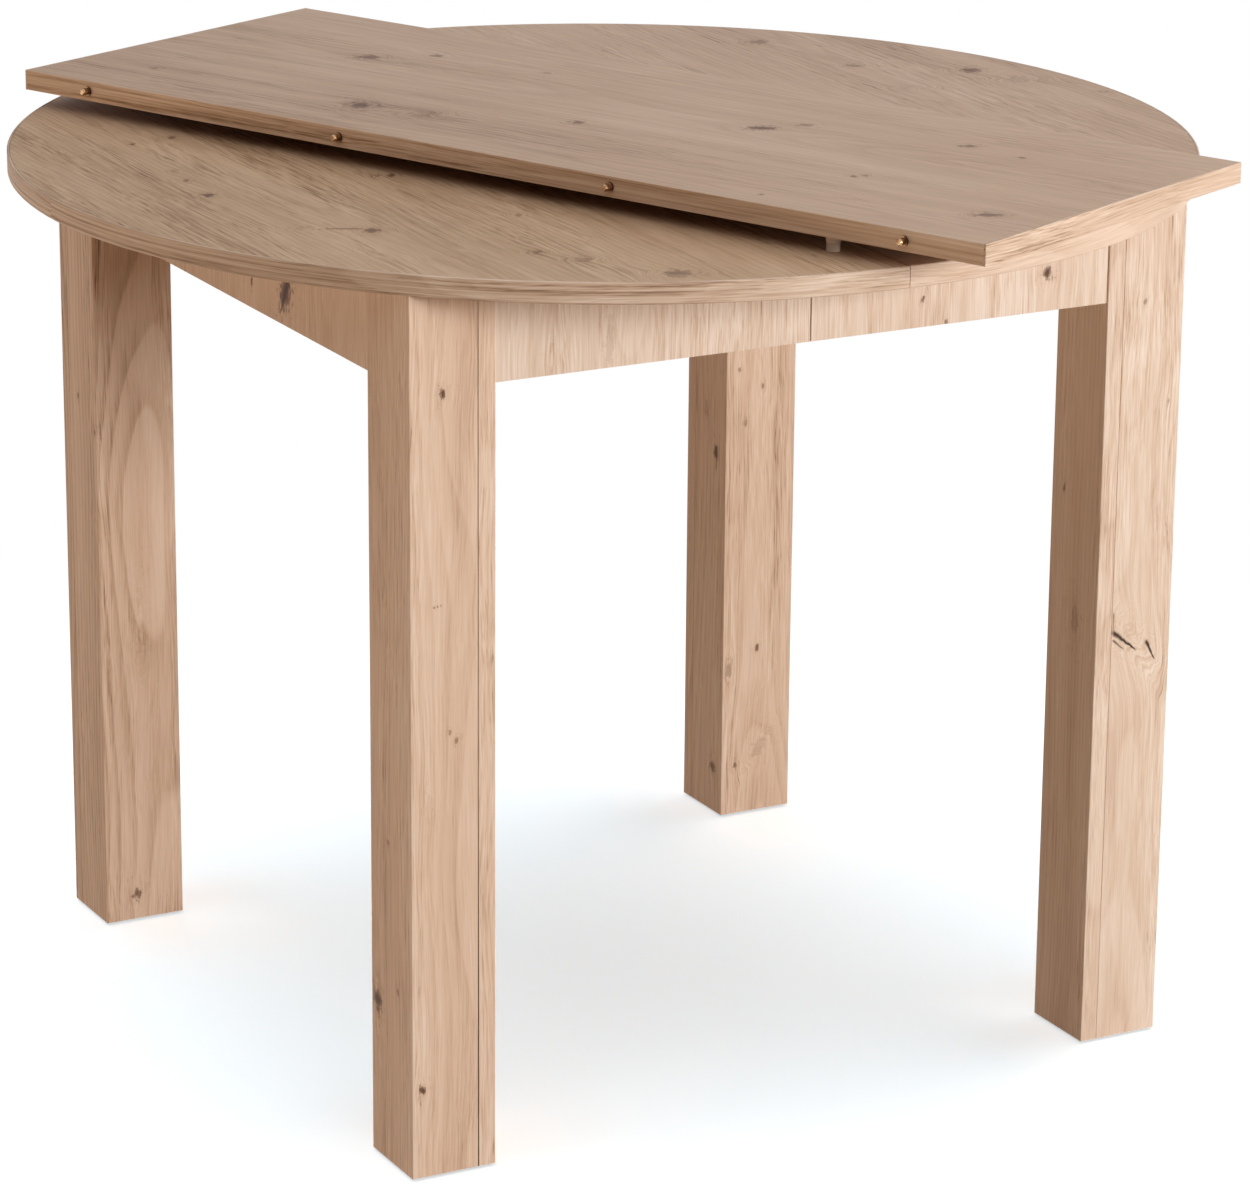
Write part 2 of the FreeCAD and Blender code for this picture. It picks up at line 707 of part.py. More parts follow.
def leaf():
    """The leaf board, its end bands, pins, sockets and stand-off pegs."""
    long_half = "(table_diameter / 2 - band_thickness)"
    wide_half = "(leaf_width / 2)"
    board = prism("leaf_panel", "XY_Plane", [
        ("-" + long_half, "-" + wide_half),
        (long_half, "-" + wide_half),
        (long_half, wide_half),
        ("-" + long_half, wide_half),
    ], "board_thickness")

    def runs_along(edge):
        low, high = edge.Vertexes[0].Point, edge.Vertexes[-1].Point
        return near(low.y, high.y) and near(low.z, high.z)

    rounded(board, "arris", runs_along)
    on_leaf(board)
    edge_y, middle = size(wide_half), size("board_thickness / 2")
    row = pin_rows()
    bores = [Placement(Vector(x, -edge_y, middle), AXIS_TO["+Y"]) for x in row]
    wells = [Placement(Vector(x, edge_y, middle), AXIS_TO["-Y"]) for x in row]
    inset = edge_y - size("peg_inset")
    reach = size("table_diameter / 2 - peg_end_inset")
    feet = [Placement(Vector(x, y, 0), Rotation()) for x, y in ((reach, -inset), (reach, inset), (-reach, 0))]

    def laid(placements):
        return [LEAF_SEAT.multiply(placement) for placement in placements]

    bored = cut("leaf_pinned", board, copies("leaf_pin_bores", pin_bore, laid(bores)))
    bored = cut("leaf_socketed", bored, copies("leaf_socket_bores", socket_bore, laid(wells)))
    bored = cut("leaf_pegged", bored, copies("leaf_peg_bores", peg_bore, laid(feet)))
    node(bored, "leaf_board")

    strip = prism("leaf_end_strip", "XY_Plane", [
        (long_half, "-" + wide_half),
        (long_half + " + band_thickness", "-" + wide_half),
        (long_half + " + band_thickness", wide_half),
        (long_half, wide_half),
    ], "board_thickness")
    tip = size("table_diameter / 2")
    rounded(strip, "arris", lambda edge: all(near(corner.Point.x, tip) for corner in edge.Vertexes))
    ends = [LEAF_SEAT, LEAF_SEAT.multiply(Placement(Vector(), Rotation(UPRIGHT, 180)))]
    node(copies("leaf_end_pair", strip, ends), "leaf_end_bands")

    out_front = [Placement(Vector(x, -edge_y, middle), AXIS_TO["-Y"]) for x in row]
    out_back = [Placement(Vector(x, edge_y, middle), AXIS_TO["+Y"]) for x in row]
    node(copies("leaf_pin_row", pin, laid(out_front)), "leaf_pins")
    node(copies("leaf_socket_row", socket, laid(out_back)), "leaf_sockets")
    node(copies("leaf_peg_set", peg, laid(feet)), "leaf_pegs")


# Lock: a hook on the left half swings under the seam onto a stud on the right half
def lock():
    """The lock's plates, pivot, hook, knob, keeper stud and screws, with the hook swung open."""
    half_width = "(lock_plate_width / 2)"
    drill = cylinder("lock_drill", "screw_radius + screw_hole_clearance", "lock_plate_thickness")
    level = size(LOCK_PLATE_BOTTOM)
    edge = size("lock_screw_edge")
    rear = -size("lock_plate_inset + lock_plate_length") + edge
    front = -size("lock_plate_inset") - edge
    far = size("lock_plate_inset + keeper_plate_length") - edge
    row = size(half_width) - edge

    def screwed_plate(name, start, length, spots):
        """A plate under the top with its screws."""
        low = (start, "-" + half_width, LOCK_PLATE_BOTTOM)
        plate = block(name + "_blank", low, (length, "lock_plate_width", "lock_plate_thickness"))
        doc.recompute()
        holes = [Placement(Vector(x, y, level), Rotation()) for x, y in spots]
        seats = [Placement(Vector(x, y, level), AXIS_TO["-Z"]) for x, y in spots]
        node(cut(name + "_drilled", plate, copies(name + "_holes", drill, holes)), name + "_plate")
        node(copies(name + "_screw_set", lock_screw, seats), name + "_screws")

    base_start = "-(lock_plate_inset + lock_plate_length)"
    screwed_plate("lock_base", base_start, "lock_plate_length", [(rear, -row), (rear, row), (front, -row)])
    screwed_plate("lock_keeper", "lock_plate_inset", "keeper_plate_length", [(far, -row), (far, row)])

    def headed(name, radius, head):
        """A headed post that hangs from a plate and leaves room for the hook."""
        return turned(name, [
            ("0", "0"),
            (radius, "0"),
            (radius, "-" + LOCK_NECK),
            (head, "-" + LOCK_NECK),
            (head, "-(%s + lock_head_height)" % LOCK_NECK),
            ("0", "-(%s + lock_head_height)" % LOCK_NECK),
        ])

    pivot = headed("lock_pivot_post", "lock_pivot_radius", "lock_head_radius")
    node(place(pivot, "-lock_pivot_inset", "0", LOCK_PLATE_BOTTOM), "lock_pivot")
    stud = headed("lock_stud_post", "lock_stud_radius", "lock_stud_head_radius")
    node(place(stud, "lock_stud_inset", "0", LOCK_PLATE_BOTTOM), "lock_keeper_stud")

    thick = "lock_hook_thickness"
    eye = cylinder("hook_eye", "lock_hook_width / 2", thick)
    nose = cylinder("hook_nose", LOCK_MOUTH + " + lock_hook_web", thick)
    place(nose, LOCK_REACH)
    arm = block("hook_arm", ("0", "-lock_hook_width / 2", "0"), (LOCK_REACH, "lock_hook_width", thick))
    blank = doc.addObject("Part::MultiFuse", "hook_blank")
    blank.Shapes = [eye, arm, nose]
    pivot_hole = cylinder("hook_pivot_hole", "lock_pivot_radius + lock_pivot_clearance", thick)
    stud_hole = cylinder("hook_stud_hole", LOCK_MOUTH, thick)
    place(stud_hole, LOCK_REACH)
    sweep = size("lock_mouth_angle")
    outer = cylinder("mouth_outer", LOCK_REACH + " + " + LOCK_MOUTH, thick, sweep)
    inner = cylinder("mouth_inner", LOCK_REACH + " - " + LOCK_MOUTH, thick, sweep)
    mouth = doc.addObject("Part::Cut", "hook_mouth")
    mouth.Base = outer
    mouth.Tool = inner
    mouth.Placement = Placement(Vector(), Rotation(UPRIGHT, -sweep))
    holes = doc.addObject("Part::MultiFuse", "hook_holes")
    holes.Shapes = [pivot_hole, stud_hole, mouth]
    doc.recompute()
    hook = doc.addObject("Part::Cut", "hook_plate")
    hook.Base = blank
    hook.Tool = holes
    hang = LOCK_PLATE_BOTTOM + " - lock_play - lock_hook_thickness"
    node(place(hook, "-lock_pivot_inset", "0", hang, size("lock_open_angle")), "lock_hook")

    knob = turned("hook_knob", [
        ("0", "0"),
        ("lock_knob_neck_radius", "0"),
        ("lock_knob_neck_radius", "-lock_knob_neck_height"),
        ("lock_knob_radius", "-(lock_knob_neck_height + lock_knob_flare)"),
        ("lock_knob_radius", "lock_knob_chamfer - lock_knob_height"),
        ("lock_knob_radius - lock_knob_chamfer", "-lock_knob_height"),
        ("0", "-lock_knob_height"),
    ])
    along = math.radians(size("lock_open_angle"))
    reach = size("lock_knob_reach")
    knob.Placement = Placement(
        Vector(reach * math.cos(along) - size("lock_pivot_inset"), reach * math.sin(along), size(hang)),
        Rotation(),
    )
    node(knob, "lock_knob")


for half_side in (LEFT, RIGHT):
    half_top(half_side)
    aprons(half_side)
    for table_end in (FRONT, BACK):
        leg(half_side, table_end)
    leg_insides(half_side)
    frame_angles(half_side)
    runner_fixings(half_side)
for table_end in (FRONT, BACK):
    runner_set(table_end)
leaf()
lock()
doc.recompute()

for item in doc.Objects:
    if "Invalid" in item.State or "Error" in item.State:
        raise ValueError(item.Name + " failed: " + ", ".join(item.State))
for piece in nodes:
    if piece.Shape.isNull() or not piece.Shape.isValid() or not piece.Shape.Solids:
        raise ValueError(piece.Label + " has no valid solid")

outline = Part.makeCompound([piece.Shape for piece in nodes]).optimalBoundingBox()
set_back = Vector(-outline.Center.x, -outline.Center.y, 0)
print("set back by %.2f, %.2f" % (set_back.x, set_back.y))

os.makedirs("parts", exist_ok=True)
for piece in nodes:
    stood = piece.Shape.copy()
    stood.translate(set_back)
    stood.exportStep("parts/%s.step" % piece.Label)
    print(piece.Label, len(stood.Solids), "solids, volume %.0f" % stood.Volume)
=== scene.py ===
"""Finishes for a round extension table with a loose leaf, in a pale studio.

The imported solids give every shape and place. This script gives them their
printed oak, beech, metal and plastic, and sets up the floor, lamps and camera.
"""

import logging
import math
from dataclasses import dataclass, replace
from enum import Enum
from typing import Mapping, NamedTuple, Sequence, Union

import bpy
from mathutils import Matrix, Vector

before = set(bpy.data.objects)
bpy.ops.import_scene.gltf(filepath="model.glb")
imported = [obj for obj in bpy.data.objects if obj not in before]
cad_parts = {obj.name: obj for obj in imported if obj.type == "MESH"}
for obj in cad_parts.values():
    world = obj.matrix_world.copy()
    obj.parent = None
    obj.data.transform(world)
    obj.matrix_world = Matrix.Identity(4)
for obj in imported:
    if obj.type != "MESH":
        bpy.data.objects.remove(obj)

LOG = logging.getLogger("extension_table")
Socket = bpy.types.NodeSocket
Input = Union[float, Sequence[float], Socket]
Pair = tuple[float, float]
Triple = tuple[float, float, float]
Shade = tuple[int, int, int]

# Sizes and directions that several pieces share, in metres in the table's frame.
MM = 0.001
MIDDLE_Y = 0.03835
TOP_HEIGHT = 0.775
BOARD_THICKNESS = 0.018
LEG_REACH = 0.32891
LEG_WIDTH = 0.077
UP = (0.0, 0.0, 1.0)
RIGHT = (1.0, 0.0, 0.0)
REAR = (0.0, 1.0, 0.0)


def turned_round(way: Triple) -> Triple:
    """The opposite direction."""
    return -way[0], -way[1], -way[2]


def paint(red: int, green: int, blue: int) -> tuple[float, float, float, float]:
    """Turns a colour as it is seen on a screen into the shader's own scale.

    Args:
        red: red from 0 to 255.
        green: green from 0 to 255.
        blue: blue from 0 to 255.

    Returns:
        Linear red, green, blue and an alpha of one.
    """

    def linear(level: int) -> float:
        """One channel on the linear scale."""
        share = level / 255
        return share / 12.92 if share <= 0.04045 else ((share + 0.055) / 1.055) ** 2.4

    return linear(red), linear(green), linear(blue), 1.0


class Cloud(NamedTuple):
    """Cloudy noise: clouds to a metre along each axis, its finer layers and their strength."""

    stretch: Triple
    detail: float = 2.0
    rough: float = 0.5


class Recipe:
    """A shader tree written as arithmetic: each call adds a node and gives its output."""

    def __init__(self, tree: bpy.types.NodeTree) -> None:
        """Starts on a tree that may already hold nodes."""
        self.tree = tree

    def node(self, kind: str, *inputs: Input, **settings: object) -> bpy.types.Node:
        """Adds one node.

        Args:
            kind: the node's type without its ShaderNode prefix.
            inputs: what goes into its first inputs, in order.
            settings: properties of the new node.

        Returns:
            The new node.
        """
        made = self.tree.nodes.new("ShaderNode" + kind)
        for name, value in settings.items():
            setattr(made, name, value)
        for socket, value in zip(made.inputs, inputs):
            self.feed(socket, value)
        return made

    def feed(self, socket: Socket, value: Input) -> None:
        """Links an output into an input, or sets the input to a plain value.

        Args:
            socket: the input.
            value: the output or the plain value.
        """
        if isinstance(value, Socket):
            self.tree.links.new(value, socket)
        else:
            socket.default_value = value

    def number(self, operation: str, *values: Input) -> Socket:
        """Works on numbers by a Math node's operation."""
        return self.node("Math", *values, operation=operation).outputs[0]

    def times(self, first: Input, second: Input) -> Socket:
        """The product of two numbers."""
        return self.number("MULTIPLY", first, second)

    def plus(self, first: Input, second: Input) -> Socket:
        """The sum of two numbers."""
        return self.number("ADD", first, second)

    def less(self, first: Input, second: Input) -> Socket:
        """The first number less the second."""
        return self.number("SUBTRACT", first, second)

    def most(self, first: Input, second: Input) -> Socket:
        """The larger of two numbers."""
        return self.number("MAXIMUM", first, second)

    def size(self, value: Input) -> Socket:
        """A number without its sign."""
        return self.number("ABSOLUTE", value)

    def share(self, value: Input, part: Input, base: Input) -> Socket:
        """Part of a value on top of a base."""
        return self.number("MULTIPLY_ADD", value, part, base)

    def vector(self, operation: str, *values: Input) -> Socket:
        """Works on vectors.

        Args:
            operation: the Vector Math node's operation.
            values: its inputs in order.

        Returns:
            The result, a number for a length or a dot product.
        """
        made = self.node("VectorMath", *values, operation=operation)
        single = operation in ("LENGTH", "DOT_PRODUCT")
        return made.outputs["Value" if single else "Vector"]

    def join(self, x: Input, y: Input, z: Input) -> Socket:
        """Makes a vector of three numbers."""
        return self.node("CombineXYZ", x, y, z).outputs[0]

    def split(self, value: Socket) -> tuple[Socket, Socket, Socket]:
        """Takes a vector apart into its three numbers."""
        x, y, z = self.node("SeparateXYZ", value).outputs
        return x, y, z

    def noise(self, place: Socket, cloud: Cloud) -> bpy.types.Node:
        """Draws cloudy noise.

        Args:
            place: where the noise is read, in metres.
            cloud: the kind of noise.

        Returns:
            The noise node, with a number and a colour that are near a half.
        """
        made = self.node("TexNoise", self.vector("MULTIPLY", place, cloud.stretch))
        for name, value in (("Scale", 1.0), ("Detail", cloud.detail), ("Roughness", cloud.rough)):
            self.feed(made.inputs[name], value)
        return made

    def level(self, place: Socket, cloud: Cloud) -> Socket:
        """The noise as a number near a half."""
        return self.noise(place, cloud).outputs[0]

    def swing(self, place: Socket, cloud: Cloud) -> Socket:
        """The noise as a number about zero."""
        return self.less(self.level(place, cloud), 0.5)

    def swirl(self, place: Socket, cloud: Cloud) -> Socket:
        """The noise as three numbers about zero."""
        colour = self.noise(place, cloud).outputs["Color"]
        return self.vector("SUBTRACT", colour, (0.5, 0.5, 0.5))

    def cells(self, place: Socket, scale: float) -> Socket:
        """Fills the space with cells.

        Args:
            place: where they are read, in metres.
            scale: how many cells there are to a metre.

        Returns:
            A random number for each cell.
        """
        made = self.node("TexVoronoi", place, feature="F1")
        self.feed(made.inputs["Scale"], scale)
        return self.split(made.outputs["Color"])[0]

    def ease(self, value: Input, low: Input, high: Input) -> Socket:
        """Goes smoothly from 0 at low to 1 at high, where low may be the larger."""
        made = self.node("MapRange", value, low, high, interpolation_type="SMOOTHSTEP")
        return made.outputs["Result"]

    def blend(self, share: Input, first: Input, second: Input) -> Socket:
        """Mixes two colours.

        Args:
            share: how much of the second shows.
            first: the colour beneath.
            second: the colour on top.

        Returns:
            The mixed colour.
        """
        made = self.node("Mix", data_type="RGBA", blend_type="MIX", clamp_factor=True)
        for index, value in ((0, share), (6, first), (7, second)):
            self.feed(made.inputs[index], value)
        return made.outputs[2]

    def either(self, share: Socket, first: Socket, second: Socket) -> Socket:
        """Mixes two shaders."""
        return self.node("MixShader", share, first, second).outputs[0]

    def ramp(self, value: Socket, stops: Sequence[tuple[float, Shade]]) -> Socket:
        """Turns a number into a colour between given stops.

        Args:
            value: the number, about 0 to 1.
            stops: places on that scale and the shades there.

        Returns:
            The colour.
        """
        made = self.node("ValToRGB", value)
        elements = made.color_ramp.elements
        while len(elements) < len(stops):
            elements.new(1.0)
        for element, (place, shade) in zip(elements, stops):
            element.position = place
            element.color = paint(*shade)
        return made.outputs[0]

    def bump(self, height: Socket, strength: float, depth: float) -> Socket:
        """A normal that follows a height.

        Args:
            height: the height, about 0 to 1.
            strength: how much of the relief shows.
            depth: how deep a height of one is, in metres.

        Returns:
            The normal.
        """
        made = self.node("Bump")
        for name, value in (("Strength", strength), ("Distance", depth), ("Height", height)):
            self.feed(made.inputs[name], value)
        return made.outputs[0]

    def own_place(self, shift: float = 0.0) -> Socket:
        """Where the surface is in the table's frame, in metres, moving with its piece.

        Args:
            shift: a shift along every axis, for pieces that shouldn't look alike.

        Returns:
            The place.
        """
        place = self.node("TexCoord").outputs["Object"]
        return self.vector("ADD", place, (shift, shift, shift)) if shift else place


def fresh_recipe(owner: Union[bpy.types.Material, bpy.types.World]) -> Recipe:
    """Gives a material or a world an empty shader tree.

    Args:
        owner: the material or the world.

    Returns:
        The recipe of its tree.
    """
    owner.use_nodes = True
    owner.node_tree.nodes.clear()
    return Recipe(owner.node_tree)


def sockets(kind: str, *names: str) -> dict[str, str]:
    """Sockets of one kind by their names."""
    return dict.fromkeys(names, kind)


class Pattern:
    """A pattern kept as a node group that every finish shares."""

    title = ""
    inlets: Mapping[str, str] = {}
    outlets: Mapping[str, str] = {}

    def draw(self, recipe: Recipe, given: Mapping[str, Socket]) -> Mapping[str, Socket]:
        """Draws the pattern.

        Args:
            recipe: the group's recipe.
            given: the group's inputs by name.

        Returns:
            The group's outputs by name.
        """
        raise NotImplementedError

    def tree(self) -> bpy.types.NodeTree:
        """Finds the group, or makes it at its first use.

        Returns:
            The group's tree.
        """
        found = bpy.data.node_groups.get(self.title)
        if found:
            return found
        made = bpy.data.node_groups.new(self.title, "ShaderNodeTree")
        for names, way in ((self.inlets, "INPUT"), (self.outlets, "OUTPUT")):
            for name, kind in names.items():
                made.interface.new_socket(name=name, in_out=way, socket_type="NodeSocket" + kind)
        start = made.nodes.new("NodeGroupInput")
        end = made.nodes.new("NodeGroupOutput")
        recipe = Recipe(made)
        given = {name: start.outputs[name] for name in self.inlets}
        for name, value in self.draw(recipe, given).items():
            recipe.feed(end.inputs[name], value)
        return made

    def use(self, recipe: Recipe, **values: Input) -> Mapping[str, Socket]:
        """Puts the pattern into a material.

        Args:
            recipe: the material's recipe.
            values: the pattern's inputs by name.

        Returns:
            The pattern's outputs by name.
        """
        made = recipe.node("Group", node_tree=self.tree())
        for name, value in values.items():
            recipe.feed(made.inputs[name], value)
        return {name: made.outputs[name] for name in self.outlets}


class KnotPattern(Pattern):
    """A knot: a ragged dark heart, rings round it, a split, and grain that bends past it.

    Places on a knot are counted in its own half sizes.
    """

    title = "knot"
    inlets = {**sockets("Vector", "Board", "Centre", "Size"), **sockets("Float", "Tilt", "Ragged")}
    outlets = {**sockets("Vector", "Bend"), **sockets("Float", "Heart", "Halo", "Rings", "Split")}
    raggedness = 3.2
    heart_edge = (1.15, 0.3)
    halo_edge = (2.8, 0.8)
    ring_rate = 7.0
    bend_width = 0.5
    bend_fall = 0.22
    bend_push = -0.8
    split_wander = 0.4
    split_least = 0.12
    split_gape = 0.3
    split_opens = (-1.2, 0.9)
    split_core = 0.04
    split_ends = (1.15, 0.8)
    split_floor = (1.2, 0.9)

    def draw(self, recipe: Recipe, given: Mapping[str, Socket]) -> Mapping[str, Socket]:
        """Draws one knot.

        Args:
            recipe: the group's recipe.
            given: the place on the board and the knot's centre, half sizes, tilt and outline.

        Returns:
            How far the grain bends, and where heart, halo, rings and split are.
        """
        turned = recipe.node("VectorRotate", rotation_type="Z_AXIS")
        away = recipe.vector("SUBTRACT", given["Board"], given["Centre"])
        recipe.feed(turned.inputs["Vector"], away)
        recipe.feed(turned.inputs["Angle"], given["Tilt"])
        place = recipe.vector("DIVIDE", turned.outputs[0], given["Size"])
        side, run, deep = recipe.split(place)
        outline = recipe.share(given["Ragged"], self.raggedness, 1.0)
        reach = recipe.times(recipe.vector("LENGTH", place), outline)
        halo = recipe.ease(reach, *self.halo_edge)
        wave = recipe.number("SINE", recipe.times(reach, self.ring_rate))

        fade = recipe.share(deep, deep, recipe.times(recipe.times(run, run), self.bend_fall))
        falling = recipe.number("EXPONENT", recipe.times(fade, -1.0))
        near = recipe.share(side, side, self.bend_width)
        push = recipe.times(recipe.number("DIVIDE", side, near), falling)
        push = recipe.times(recipe.times(push, recipe.split(given["Size"])[0]), self.bend_push)

        line = recipe.size(recipe.share(given["Ragged"], self.split_wander, side))
        opening = recipe.ease(run, *self.split_opens)
        gape = recipe.share(opening, self.split_gape, self.split_least)
        split = recipe.ease(line, gape, self.split_core)
        split = recipe.times(split, recipe.ease(recipe.size(run), *self.split_ends))
        split = recipe.times(split, recipe.ease(recipe.size(deep), *self.split_floor))
        return {
            "Bend": recipe.join(push, 0.0, 0.0),
            "Heart": recipe.ease(reach, *self.heart_edge),
            "Halo": halo,
            "Rings": recipe.times(wave, halo),
            "Split": split,
        }


class OakPattern(Pattern):
    """Oak printed on a board: growth rings, fibres, pores and streaks, in staves side by side."""

    title = "oak"
    inlets = {
        **sockets("Vector", "Board"),
        **sockets("Float", "Seed", "Stave", "Shift", "Spacing", "Figure", "Grain"),
    }
    outlets = sockets("Float", "Light", "Shine")
    seed_step = 17.3
    stave_run = 6.0
    weave = Cloud((13, 3.6, 13))
    weave_push = (0.02, 0.0, 0.02)
    drift = Cloud((6, 1.5, 6), 1.5)
    bow_push = 0.035
    dip_push = 0.07
    beat_push = 1.6
    pith_reach = 0.2
    pith_least = 0.02
    pith_spread = 0.05
    ring_end = (0.85, 0.0)
    ring_start = (0.0, 0.12)
    fibre = Cloud((640, 15, 640), rough=0.7)
    streak = Cloud((24, 0.7, 24))
    patch = Cloud((5, 2.2, 5))
    mottle = Cloud((60, 6, 60))
    bunch = Cloud((26, 1.6, 26))
    bunch_edge = (0.4, 0.62)
    pore = Cloud((780, 40, 780), 1.0)
    pore_edge = (0.56, 0.74)
    pore_in_ring = (0.5, 0.25)
    pore_in_bunch = (0.8, 0.3)
    line = Cloud((240, 3.4, 240), rough=0.6)
    line_edge = (0.04, 0.0)
    line_in_bunch = (0.7, 0.3)
    hair_in_bunch = (0.8, 0.5)
    joint_edge = (0.0007, 0.0)
    plain_light = 0.72
    weights = {
        "streak": 0.5,
        "hair": 1.5,
        "patch": 0.4,
        "mottle": 0.3,
        "ring": -1.0,
        "pore": -0.4,
        "line": -0.2,
        "stave": 0.14,
        "joint": -0.1,
    }
    plain_shine = 0.52
    pore_shine = 0.15
    fibre_shine = 0.25

    def draw(self, recipe: Recipe, given: Mapping[str, Socket]) -> Mapping[str, Socket]:
        """Draws the oak on a board whose axes are across, along and through the grain.

        Args:
            recipe: the group's recipe.
            given: the place on the board and the print's sizes.

        Returns:
            How light and how shiny the print is.
        """
        across, along, through = recipe.split(given["Board"])
        shifted = recipe.plus(across, given["Shift"])
        stave = recipe.number("FLOOR", recipe.number("DIVIDE", shifted, given["Stave"]))
        dice = recipe.node("TexWhiteNoise", noise_dimensions="1D")
        recipe.feed(dice.inputs["W"], recipe.share(given["Seed"], self.seed_step, stave))
        first, second, third = recipe.split(dice.outputs["Color"])
        middle = recipe.times(recipe.plus(stave, 0.5), given["Stave"])
        local = recipe.less(shifted, middle)
        run = recipe.share(third, self.stave_run, recipe.plus(along, given["Seed"]))
        straight = recipe.join(recipe.plus(shifted, given["Seed"]), run, through)
        weave = recipe.swirl(straight, self.weave)
        grain = recipe.vector("MULTIPLY_ADD", weave, self.weave_push, straight)

        bow, dip, beat = recipe.split(recipe.swirl(grain, self.drift))
        spread = recipe.times(given["Stave"], self.pith_reach)
        pith = recipe.times(recipe.less(first, 0.5), spread)
        side = recipe.share(bow, self.bow_push, recipe.less(local, pith))
        depth = recipe.share(second, self.pith_spread, recipe.plus(through, self.pith_least))
        depth = recipe.share(dip, self.dip_push, depth)
        radius = recipe.vector("LENGTH", recipe.join(side, depth, 0.0))
        count = recipe.number("DIVIDE", radius, given["Spacing"])
        climb = recipe.number("FRACT", recipe.share(beat, self.beat_push, count))
        ring = recipe.ease(climb, *self.ring_end)
        ring = recipe.times(ring, recipe.ease(climb, *self.ring_start))

        fibre = recipe.swing(grain, self.fibre)
        bunch = recipe.ease(recipe.level(grain, self.bunch), *self.bunch_edge)
        pore = recipe.ease(recipe.level(grain, self.pore), *self.pore_edge)
        pore = recipe.times(pore, recipe.share(ring, *self.pore_in_ring))
        pore = recipe.times(pore, recipe.share(bunch, *self.pore_in_bunch))
        line = recipe.ease(recipe.size(recipe.swing(grain, self.line)), *self.line_edge)
        line = recipe.times(line, recipe.share(bunch, *self.line_in_bunch))
        hair = recipe.times(fibre, recipe.share(bunch, *self.hair_in_bunch))
        to_joint = recipe.less(recipe.times(given["Stave"], 0.5), recipe.size(local))
        layers = {
            "streak": recipe.swing(grain, self.streak),
            "hair": recipe.times(hair, given["Grain"]),
            "patch": recipe.swing(grain, self.patch),
            "mottle": recipe.swing(grain, self.mottle),
            "ring": recipe.times(ring, given["Figure"]),
            "pore": recipe.times(pore, given["Grain"]),
            "line": recipe.times(line, given["Grain"]),
            "stave": recipe.less(second, 0.5),
            "joint": recipe.ease(to_joint, *self.joint_edge),
        }
        light: Input = self.plain_light
        for name, layer in layers.items():
            light = recipe.share(layer, self.weights[name], light)
        shine = recipe.share(pore, self.pore_shine, self.plain_shine)
        return {"Light": light, "Shine": recipe.share(fibre, self.fibre_shine, shine)}


KNOT = KnotPattern()
OAK = OakPattern()


class Tone(Enum):
    """The shades of oak print on the table, from the darkest grain to the palest."""

    # A darker, browner copy of the leaf's print for the left half of the top: painted shade.
    SHADED_TOP = ((106, 74, 48), (151, 115, 84), (184, 148, 115), (201, 166, 134), (215, 183, 152))
    LEAF = ((116, 87, 66), (164, 132, 108), (196, 163, 138), (209, 178, 153), (221, 193, 170))
    FRAME = ((134, 102, 79), (188, 156, 130), (212, 181, 156), (222, 194, 170), (231, 207, 186))
    PALE = ((150, 120, 98), (198, 169, 145), (216, 191, 169), (227, 206, 187), (236, 220, 206))
    EDGE = ((110, 80, 56), (166, 131, 101), (205, 171, 142), (222, 191, 163), (235, 209, 184))

    def stops(self) -> list[tuple[float, Shade]]:
        """The shades as stops of a ramp."""
        places = (0.05, 0.33, 0.56, 0.76, 0.98)
        return list(zip(places, self.value))


@dataclass(frozen=True)
class Knot:
    """One knot on a board: its place and half sizes in millimetres, in the board's own axes."""

    across: float
    along: float
    through: float
    width: float
    length: float
    tilt: float = 0.0
    dark: float = 1.0
    split: float = 0.0

    faint = 0.3

    def depth(self) -> float:
        """How dark the heart is: a faint knot has a shaded ring and no heart."""
        return max(self.dark - self.faint, 0.0) / (1.0 - self.faint)


def face_knots(tilt: float, *rows: Sequence[float]) -> tuple[Knot, ...]:
    """Makes the knots of a board's upper face.

    Args:
        tilt: how far they are turned on the face.
        rows: across, along, half width and half length of each, then darkness and split.

    Returns:
        The knots.
    """
    return tuple(Knot(row[0], row[1], 0, row[2], row[3], tilt, *row[4:]) for row in rows)


@dataclass(frozen=True)
class Board:
    """Where a board's own axes lie in the table: across, along and through its grain."""

    origin: Triple
    across: Triple
    along: Triple
    through: Triple

    def place(self, recipe: Recipe) -> Socket:
        """Finds the surface's place on the board.

        Args:
            recipe: the material's recipe.

        Returns:
            The place across, along and through the grain, in metres.
        """
        away = recipe.vector("SUBTRACT", recipe.own_place(), self.origin)
        axes = (self.across, self.along, self.through)
        return recipe.join(*(recipe.vector("DOT_PRODUCT", away, axis) for axis in axes))


@dataclass(frozen=True)
class Rim:
    """A band bent round the top: up its edge, along the rim and out from it."""

    centre: Triple
    radius: float

    def place(self, recipe: Recipe) -> Socket:
        """Finds the surface's place on the band as if it were laid out flat.

        Args:
            recipe: the material's recipe.

        Returns:
            The place up, along and out from the band, in metres.
        """
        x, y, z = recipe.split(recipe.vector("SUBTRACT", recipe.own_place(), self.centre))
        run = recipe.times(recipe.number("ARCTAN2", y, x), self.radius)
        out = recipe.less(recipe.vector("LENGTH", recipe.join(x, y, 0.0)), self.radius)
        return recipe.join(z, run, out)


